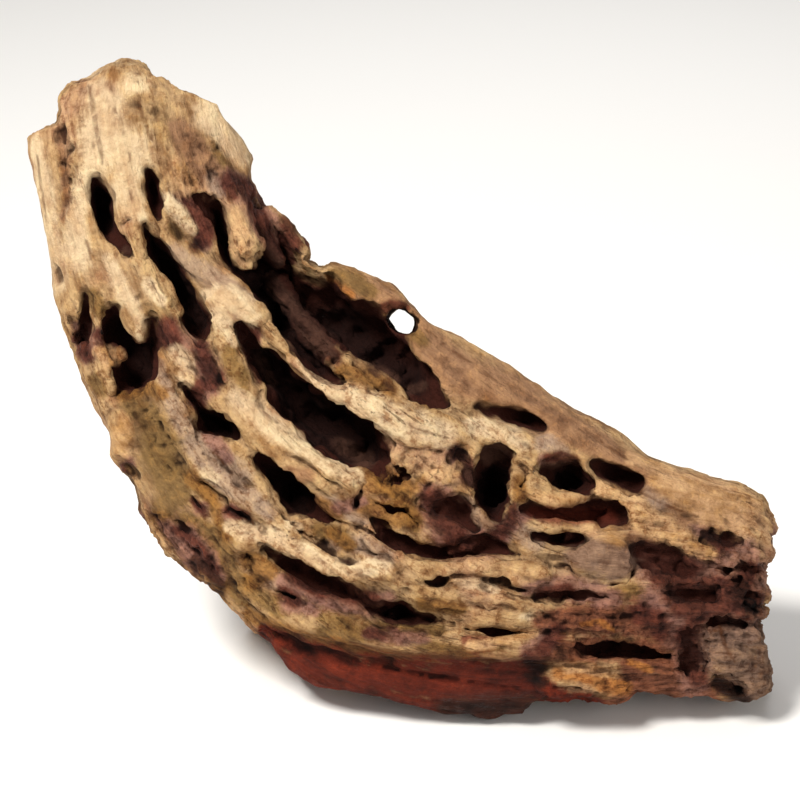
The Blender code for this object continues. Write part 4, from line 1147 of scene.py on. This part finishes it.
def raise_underside(points):
    """Lift what lies near the ground to a low arch between the feet."""
    soles = place(np.array([foot[:3] for foot in FEET.values()], dtype=float))
    widths = np.array([foot[3] for foot in FEET.values()]) * MM * LUMP_SPREAD
    near = np.zeros(len(points))
    for sole, width in zip(soles, widths):
        distance = np.hypot(points[:, 0] - sole[0], points[:, 1] - sole[1])
        near = np.maximum(near, np.exp(-(distance / width) ** 2))
    floor = FOOT_HOLLOW * (1 - near) - SOLE_CUT
    above = points[:, 2] - floor
    points[:, 2] = floor + 0.5 * (above + np.sqrt(above ** 2 + UNDERSIDE_SOFTNESS ** 2))
    return points


def weather(obj):
    """Push the skin in and out along its normals.

    Flutes, crests, fibres and crumbs run down the grain, and lumps and breaks lie anywhere.
    """
    points = positions(obj)
    grain = grain_places(points)
    flutes = layered_noise(grain / FLUTE_SIZE, 2)
    crests = CREST_FOLD - np.abs(layered_noise(grain / CREST_SIZE + CREST_SHIFT, 2))
    fibres = layered_noise(grain / FIBRE_SIZE + FIBRE_SHIFT, 2)
    lumps = layered_noise(points / LUMP_SIZE, 3)
    breaks = BREAK_FOLD - np.abs(layered_noise(points / BREAK_SIZE + BREAK_SHIFT, 3))
    crumbs = CRUMB_FOLD - np.abs(layered_noise(grain / CRUMB_SIZE + CRUMB_SHIFT, 3))
    broken = stroke_field(points, BROKEN)
    calm = 1 - CALM_SHARE * stroke_field(points, CALM)
    move = FLUTE_HEIGHT * flutes + FIBRE_HEIGHT * fibres + LUMP_HEIGHT * lumps
    move += (CREST_HEIGHT * crests + CRUMB_HEIGHT * crumbs) * calm
    move = move * calm + BREAK_HEIGHT * breaks * broken
    set_positions(obj, points + point_normals(obj) * move[:, None])


def add_value(obj, name, values):
    """Keep one number, or three, on every point for the finish to read."""
    kind = "FLOAT" if values.ndim == 1 else "FLOAT_VECTOR"
    field = "value" if values.ndim == 1 else "vector"
    attribute = obj.data.attributes.new(name, kind, "POINT")
    attribute.data.foreach_set(field, values.astype(np.float32).ravel())


def keep_finish_values(obj, uncut_skin):
    """Note on every point the grain, the colour zones, the depth in the hollows and the heights."""
    points = positions(obj)
    add_value(obj, "grain", grain_places(points))
    zone_places = wandering(points)
    behind = far_behind(points, FADE_START, FADE_REACH)
    for name, strokes, *_ in ZONES:
        add_value(obj, name, stroke_field(zone_places, strokes, behind))
    add_value(obj, "inside", stroke_field(points, INSIDE))
    add_value(obj, "calm", stroke_field(points, CALM))
    add_value(obj, "fissure", stroke_field(points, FISSURES))
    depths = np.zeros(len(points))
    for number, point in enumerate(points):
        nearest, normal, _, _ = uncut_skin.find_nearest(Vector(point))
        inwards = nearest - Vector(point)
        outside = inwards.dot(normal) < OUTSIDE_COSINE * inwards.length
        depths[number] = 0 if outside else inwards.length
    add_value(obj, "hollow", depths)
    normals = point_normals(obj)
    for name, rounds in HEIGHTS:
        height = np.sum((points - smoothed(obj, points, rounds)) * normals, axis=1)
        add_value(obj, name, height)


def fit_to_box(points, corners):
    """A function that stretches places a little on each axis, so that the points fill the given box."""
    low, high = points.min(axis=0), points.max(axis=0)
    stretch = (corners[1] - corners[0]) / (high - low)

    def fitted(places):
        return corners[0] + (places - low) * stretch

    return fitted


def make_driftwood():
    """The whole piece: body, ribs, hollows and small forms, weathered, placed and fitted to its box."""
    body = make_body()
    front = surface_finder(body, 1)
    back = surface_finder(body, -1)
    raised = [raised_form(name, points, front, 1) for name, points in RIDGES.items()]
    raised += [raised_form(name, points, back, -1) for name, points in BACK_RIDGES.items()]
    raised.append(sweep("heel", [(u, v, w, half, half) for u, v, w, half in HEEL]))
    combine(body, raised, "UNION")
    combine(body, [make_outline_block()], "INTERSECT")
    uncut_skin = BVHTree.FromObject(body, bpy.context.evaluated_depsgraph_get())
    ribbed = surface_finder(body, 1)
    cutters = [hollow_form(name, points, front, 1) for name, points in HOLLOWS.items()]
    cutters += [hollow_form(name, points, back, -1) for name, points in BACK_HOLLOWS.items()]
    cutters += [shoulder_form(name, points, ribbed, 1) for name, points in HOLLOWS.items()]
    cutters += [shoulder_form(name, points, back, -1) for name, points in BACK_HOLLOWS.items()]
    cutters += [hollow_form(name, points, ribbed, 1, SMALL_WIDENING)
                for name, points in SMALL_GROOVES.items()]
    cutters.append(bore("through hole", *THROUGH_HOLE))
    cutters.append(bore("end hole", *END_HOLE))
    combine(body, cutters, "DIFFERENCE")
    inner = [raised_form(name, points, front, 1) for name, points in INNER_FORMS.items()]
    inner += [raised_form(name, points, front, 1, SMALL_ROOT) for name, points in SMALL_FORMS.items()]
    combine(body, inner, "UNION")
    apply_modifier(body, "REMESH", mode="VOXEL", voxel_size=SKIN_SIZE)
    drop_loose_crumbs(body)
    apply_modifier(body, "SMOOTH", factor=0.5, iterations=SKIN_SOFTENING)
    weather(body)
    triangles = sum(len(face.vertices) - 2 for face in body.data.polygons)
    apply_modifier(body, "DECIMATE", ratio=TRIANGLE_LIMIT / triangles)
    keep_finish_values(body, uncut_skin)
    points = raise_underside(place(positions(body)))
    points[:, 2] = np.maximum(points[:, 2], 0)
    fitted = fit_to_box(points, SOLID_BOX)
    set_positions(body, fitted(points))
    aim = fitted(place(np.array([[AIM_U, AIM_V, 0.0]])))[0]
    body.name = "weathered_driftwood"
    select_only(body)
    bpy.ops.object.shade_smooth()
    return body, aim


def tone(code):
    """A linear colour from its hexadecimal screen value."""
    parts = [int(code[k:k + 2], 16) / 255 for k in (1, 3, 5)]
    return (*[part / 12.92 if part < 0.04045 else ((part + 0.055) / 1.055) ** 2.4 for part in parts], 1)


def put(tree, kind, values=None, **settings):
    """Add a node, set its options, and fill its inputs with numbers or with other nodes' outputs."""
    node = tree.nodes.new("ShaderNode" + kind)
    for key, value in settings.items():
        setattr(node, key, value)
    for key, value in (values or {}).items():
        if isinstance(value, bpy.types.NodeSocket):
            tree.links.new(value, node.inputs[key])
        else:
            node.inputs[key].default_value = value
    return node


def calculate(tree, operation, first, second=0.0, third=0.0):
    return put(tree, "Math", {0: first, 1: second, 2: third}, operation=operation).outputs[0]


def mix_of(tree, *parts):
    """The sum of some values, each times its share."""
    total = 0.0
    for socket, share in parts:
        total = calculate(tree, "MULTIPLY_ADD", socket, share, total)
    return total


def remap(tree, value, low, high, to_low=0.0, to_high=1.0):
    """Ease a number from one range to another and hold it there."""
    node = put(tree, "MapRange", {"Value": value, "From Min": low, "From Max": high, "To Min": to_low,
                                  "To Max": to_high}, interpolation_type="SMOOTHSTEP")
    return node.outputs[0]


def blend(tree, share, first, second, mode="MIX"):
    node = put(tree, "Mix", {0: share, 6: first, 7: second}, data_type="RGBA", blend_type=mode)
    return node.outputs[2]


def noise_texture(tree, places, size, detail, softness, shift):
    """Noise with lumps of the given size, in millimetres down, across and out of the grain."""
    mapping = put(tree, "Mapping", {"Vector": places, "Location": (shift, shift, shift),
                                    "Scale": tuple(1 / s for s in size)})
    node = put(tree, "TexNoise", {"Vector": mapping.outputs[0], "Scale": 1.0, "Detail": detail,
                                  "Roughness": softness})
    return node.outputs[0]


def new_group(name, inputs, outputs):
    """An empty node group with named sockets, and its input and output nodes."""
    tree = bpy.data.node_groups.new(name, "ShaderNodeTree")
    for label, kind in inputs:
        tree.interface.new_socket(label, in_out="INPUT", socket_type=kind)
    for label in outputs:
        tree.interface.new_socket(label, in_out="OUTPUT", socket_type="NodeSocketFloat")
    return tree, tree.nodes.new("NodeGroupInput").outputs, tree.nodes.new("NodeGroupOutput").inputs


def make_grain_group():
    """Streaks, fibres, cracks and pores that run down the grain, and slow changes of tone."""
    names = ["Streak", "Fibre", "Crack", "Pore", "Tone", "Ragged"]
    tree, given, result = new_group("wood grain", [("Place", "NodeSocketVector")], names)
    noise = {name: noise_texture(tree, given["Place"], *measures)
             for name, measures in GRAIN_NOISE.items()}
    crack = calculate(tree, "MULTIPLY", remap(tree, noise["slit"], *SLIT_RANGE),
                      remap(tree, noise["slit gate"], *SLIT_GATE_RANGE))
    pore = calculate(tree, "MULTIPLY", remap(tree, noise["speck"], *SPECK_RANGE),
                     remap(tree, noise["speck gate"], *SPECK_GATE_RANGE))
    sockets = (noise["streak"], noise["fibre"], crack, pore, noise["broad"], noise["ragged"])
    for name, socket in zip(names, sockets):
        tree.links.new(socket, result[name])
    return tree


def make_edge_group():
    """A zone's mask with its edge broken up by the grain."""
    inputs = [("Mask", "NodeSocketFloat"), ("Ragged", "NodeSocketFloat"), ("Reach", "NodeSocketFloat")]
    tree, given, result = new_group("ragged edge", inputs, ["Mask"])
    swing = calculate(tree, "MULTIPLY", calculate(tree, "SUBTRACT", given["Ragged"], 0.5), given["Reach"])
    total = calculate(tree, "ADD", given["Mask"], swing)
    tree.links.new(remap(tree, total, *ZONE_EDGE), result["Mask"])
    return tree


def read_value(tree, name):
    """A number that is kept on the mesh's points."""
    return put(tree, "Attribute", attribute_name=name).outputs["Fac"]


def gather_patterns(tree):
    """Every pattern and kept number that the finish reads, by name."""
    grain = put(tree, "Group", node_tree=make_grain_group())
    down_grain = put(tree, "Attribute", attribute_name="grain").outputs["Vector"]
    tree.links.new(down_grain, grain.inputs["Place"])
    patterns = {socket.name.lower(): socket for socket in grain.outputs}
    metres = put(tree, "TexCoord").outputs["Object"]
    everywhere = put(tree, "VectorMath", {0: metres, 3: 1 / MM}, operation="SCALE").outputs[0]
    for name, (size, detail, softness, shift) in EVEN_NOISE.items():
        patterns[name] = noise_texture(tree, everywhere, (size, size, size), detail, softness, shift)
    for name in ("calm", "fissure", "hollow", "russet", *[name for name, _ in HEIGHTS]):
        patterns[name] = read_value(tree, name)
    for name, shares in MIXTURES.items():
        patterns[name] = mix_of(tree, *[(patterns[part], share) for part, share in shares])
    patterns["mottle"] = remap(tree, patterns["mottle"], *MOTTLE_RANGE)
    return patterns


def zone_mask(tree, edge_group, name, torn, reach):
    """One zone's mask, with its edge torn by the grain."""
    node = put(tree, "Group", {"Reach": reach}, node_tree=edge_group)
    tree.links.new(read_value(tree, name), node.inputs["Mask"])
    tree.links.new(torn, node.inputs["Ragged"])
    return node.outputs["Mask"]


def stained_and_shaded_colour(tree, patterns, edge_group):
    """Bare wood with the colour zones, stains and painted shade, laid over it, one after the other."""
    mottle = patterns["mottle"]
    colour = blend(tree, mottle, tone(BARE_WOOD[1]), tone(BARE_WOOD[0]))
    for start, full, share, code in CLOUDS:
        colour = blend(tree, remap(tree, patterns["cloud"], start, full, 0.0, share), colour, tone(code))
    for name, _, light, dark, strength in ZONES:
        pair = blend(tree, mottle, tone(dark), tone(light))
        mask = zone_mask(tree, edge_group, name, patterns["torn"], ZONE_REACH)
        colour = blend(tree, calculate(tree, "MULTIPLY", mask, strength), colour, pair)
    return colour


def marked_colour(tree, patterns, colour):
    """Fine shade, grit, lit crests, dark lows, cracks, pores and splits over the colour."""
    calm = remap(tree, patterns["calm"], 0.0, 1.0, 1.0, CALM_MARKS)
    for name, start, full, share, code, mode, softened in MARKS:
        amount = remap(tree, patterns[name], start, full, 0.0, share)
        if softened:
            amount = calculate(tree, "MULTIPLY", amount, calm)
        colour = blend(tree, amount, colour, tone(code), mode)
    for name, share, code in (("crack", CRACK_SHARE, CRACK_COLOUR), ("pore", PORE_SHARE, PORE_COLOUR)):
        patterns[name] = calculate(tree, "MULTIPLY", patterns[name], calm)
        colour = blend(tree, calculate(tree, "MULTIPLY", patterns[name], share), colour, tone(code))
    split = remap(tree, patterns["fissure"], *FISSURE_RANGE, 0.0, FISSURE_SHARE)
    return blend(tree, split, colour, tone(CRACK_COLOUR))


def hollow_shade_and_lit_walls(tree, patterns, colour, edge_group):
    """Painted shade: dark rims and darker depths, over the wood's own dark colour deep in, and painted light
    on the walls that light still reaches.
    """
    torn = calculate(tree, "MULTIPLY", calculate(tree, "SUBTRACT", patterns["torn"], 0.5), RIM_SWING)
    depth = calculate(tree, "ADD", patterns["hollow"], torn)
    # painted shade: darker at the rims, and darker still in the depths
    colour = blend(tree, remap(tree, depth, *RIM_DEPTHS), colour, tone(RIM_SHADE))
    colour = blend(tree, remap(tree, depth, *DARK_DEPTHS), colour, tone(HOLLOW_SHADE_AND_STAIN))
    lit = blend(tree, patterns["mottle"], tone(LIT_INSIDE[1]), tone(LIT_INSIDE[0]))
    lit = blend(tree, patterns["russet"], lit, tone(LIT_RED_INSIDE))
    reached = zone_mask(tree, edge_group, "inside", patterns["torn"], INSIDE_REACH)
    below = remap(tree, patterns["hollow"], *INSIDE_DEPTHS, 0.0, INSIDE_SHARE)
    return blend(tree, calculate(tree, "MULTIPLY", reached, below), colour, lit)


def weathered_wood():
    """Dry wood: bleached ribs, brown and red stains, hollows darkened with painted shade, and grain that runs
    down the piece.
    """
    material = bpy.data.materials.new("weathered wood")
    material.use_nodes = True
    tree = material.node_tree
    shader = tree.nodes["Principled BSDF"]
    edge_group = make_edge_group()
    patterns = gather_patterns(tree)
    colour = stained_and_shaded_colour(tree, patterns, edge_group)
    colour = marked_colour(tree, patterns, colour)
    colour = hollow_shade_and_lit_walls(tree, patterns, colour, edge_group)
    tree.links.new(colour, shader.inputs["Base Color"])

    stain = zone_mask(tree, edge_group, "plum", patterns["torn"], DAMP_REACH)
    damp = calculate(tree, "MULTIPLY", stain, remap(tree, patterns["ragged"], *DAMP_RANGE))
    gloss = remap(tree, damp, 0.0, 1.0, DRY_ROUGHNESS, DAMP_ROUGHNESS)
    tree.links.new(gloss, shader.inputs["Roughness"])
    shader.inputs["Specular IOR Level"].default_value = SPECULAR_LEVEL

    relief = mix_of(tree, *[(patterns[name], height) for name, height in RELIEF])
    for name, dent in (("crack", CRACK_DENT), ("pore", PORE_DENT)):
        relief = calculate(tree, "SUBTRACT", relief, calculate(tree, "MULTIPLY", patterns[name], dent))
    bump = put(tree, "Bump", {"Strength": 1.0, "Distance": RELIEF_HEIGHT, "Height": relief})
    tree.links.new(bump.outputs[0], shader.inputs["Normal"])
    return material


def add_stage():
    """A plain pale floor."""
    bpy.ops.mesh.primitive_plane_add(size=FLOOR_WIDTH)
    floor = bpy.context.object
    floor.name = "floor"
    material = bpy.data.materials.new("pale floor")
    material.use_nodes = True
    shader = material.node_tree.nodes["Principled BSDF"]
    shader.inputs["Base Color"].default_value = tone(FLOOR_COLOUR)
    shader.inputs["Roughness"].default_value = FLOOR_ROUGHNESS
    shader.inputs["Specular IOR Level"].default_value = FLOOR_SPECULAR_LEVEL
    floor.data.materials.append(material)


def add_area_light(name, where, target, size, power, colour):
    """A soft lamp that looks at the target."""
    light = bpy.data.lights.new(name, "AREA")
    light.size = size
    light.energy = power
    light.color = colour
    lamp = bpy.data.objects.new(name, light)
    bpy.context.scene.collection.objects.link(lamp)
    lamp.location = where
    lamp.rotation_euler = (Vector(target) - Vector(where)).to_track_quat("-Z", "Y").to_euler()


def add_lights(aim):
    """Soft daylight all round and three lamps."""
    world = bpy.data.worlds.new("soft daylight")
    world.use_nodes = True
    background = world.node_tree.nodes["Background"]
    background.inputs["Color"].default_value = SKY_COLOUR
    background.inputs["Strength"].default_value = SKY_STRENGTH
    bpy.context.scene.world = world
    for name, where, size, power, colour in LIGHTS:
        add_area_light(name, where, aim, size, power, colour)


def add_camera(aim):
    """Look at the front square on, from as far as the drawing was seen."""
    camera = bpy.data.cameras.new("camera")
    camera.sensor_width = SENSOR_WIDTH
    camera.lens = SENSOR_WIDTH * EYE_DISTANCE / (PICTURE_WIDTH * MM * SCALE)
    holder = bpy.data.objects.new("camera", camera)
    bpy.context.scene.collection.objects.link(holder)
    tilt = math.radians(TILT_BACK)
    holder.location = Vector(aim) + Vector((0, -math.cos(tilt), math.sin(tilt))) * EYE_DISTANCE
    holder.rotation_euler = (math.pi / 2 - tilt, 0, 0)
    bpy.context.scene.camera = holder


driftwood, aim_point = make_driftwood()
driftwood.data.materials.clear()
driftwood.data.materials.append(weathered_wood())
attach(driftwood, "root")
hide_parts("driftwood")
add_stage()
add_lights(aim_point)
add_camera(aim_point)
bpy.context.scene.view_settings.view_transform = "Standard"
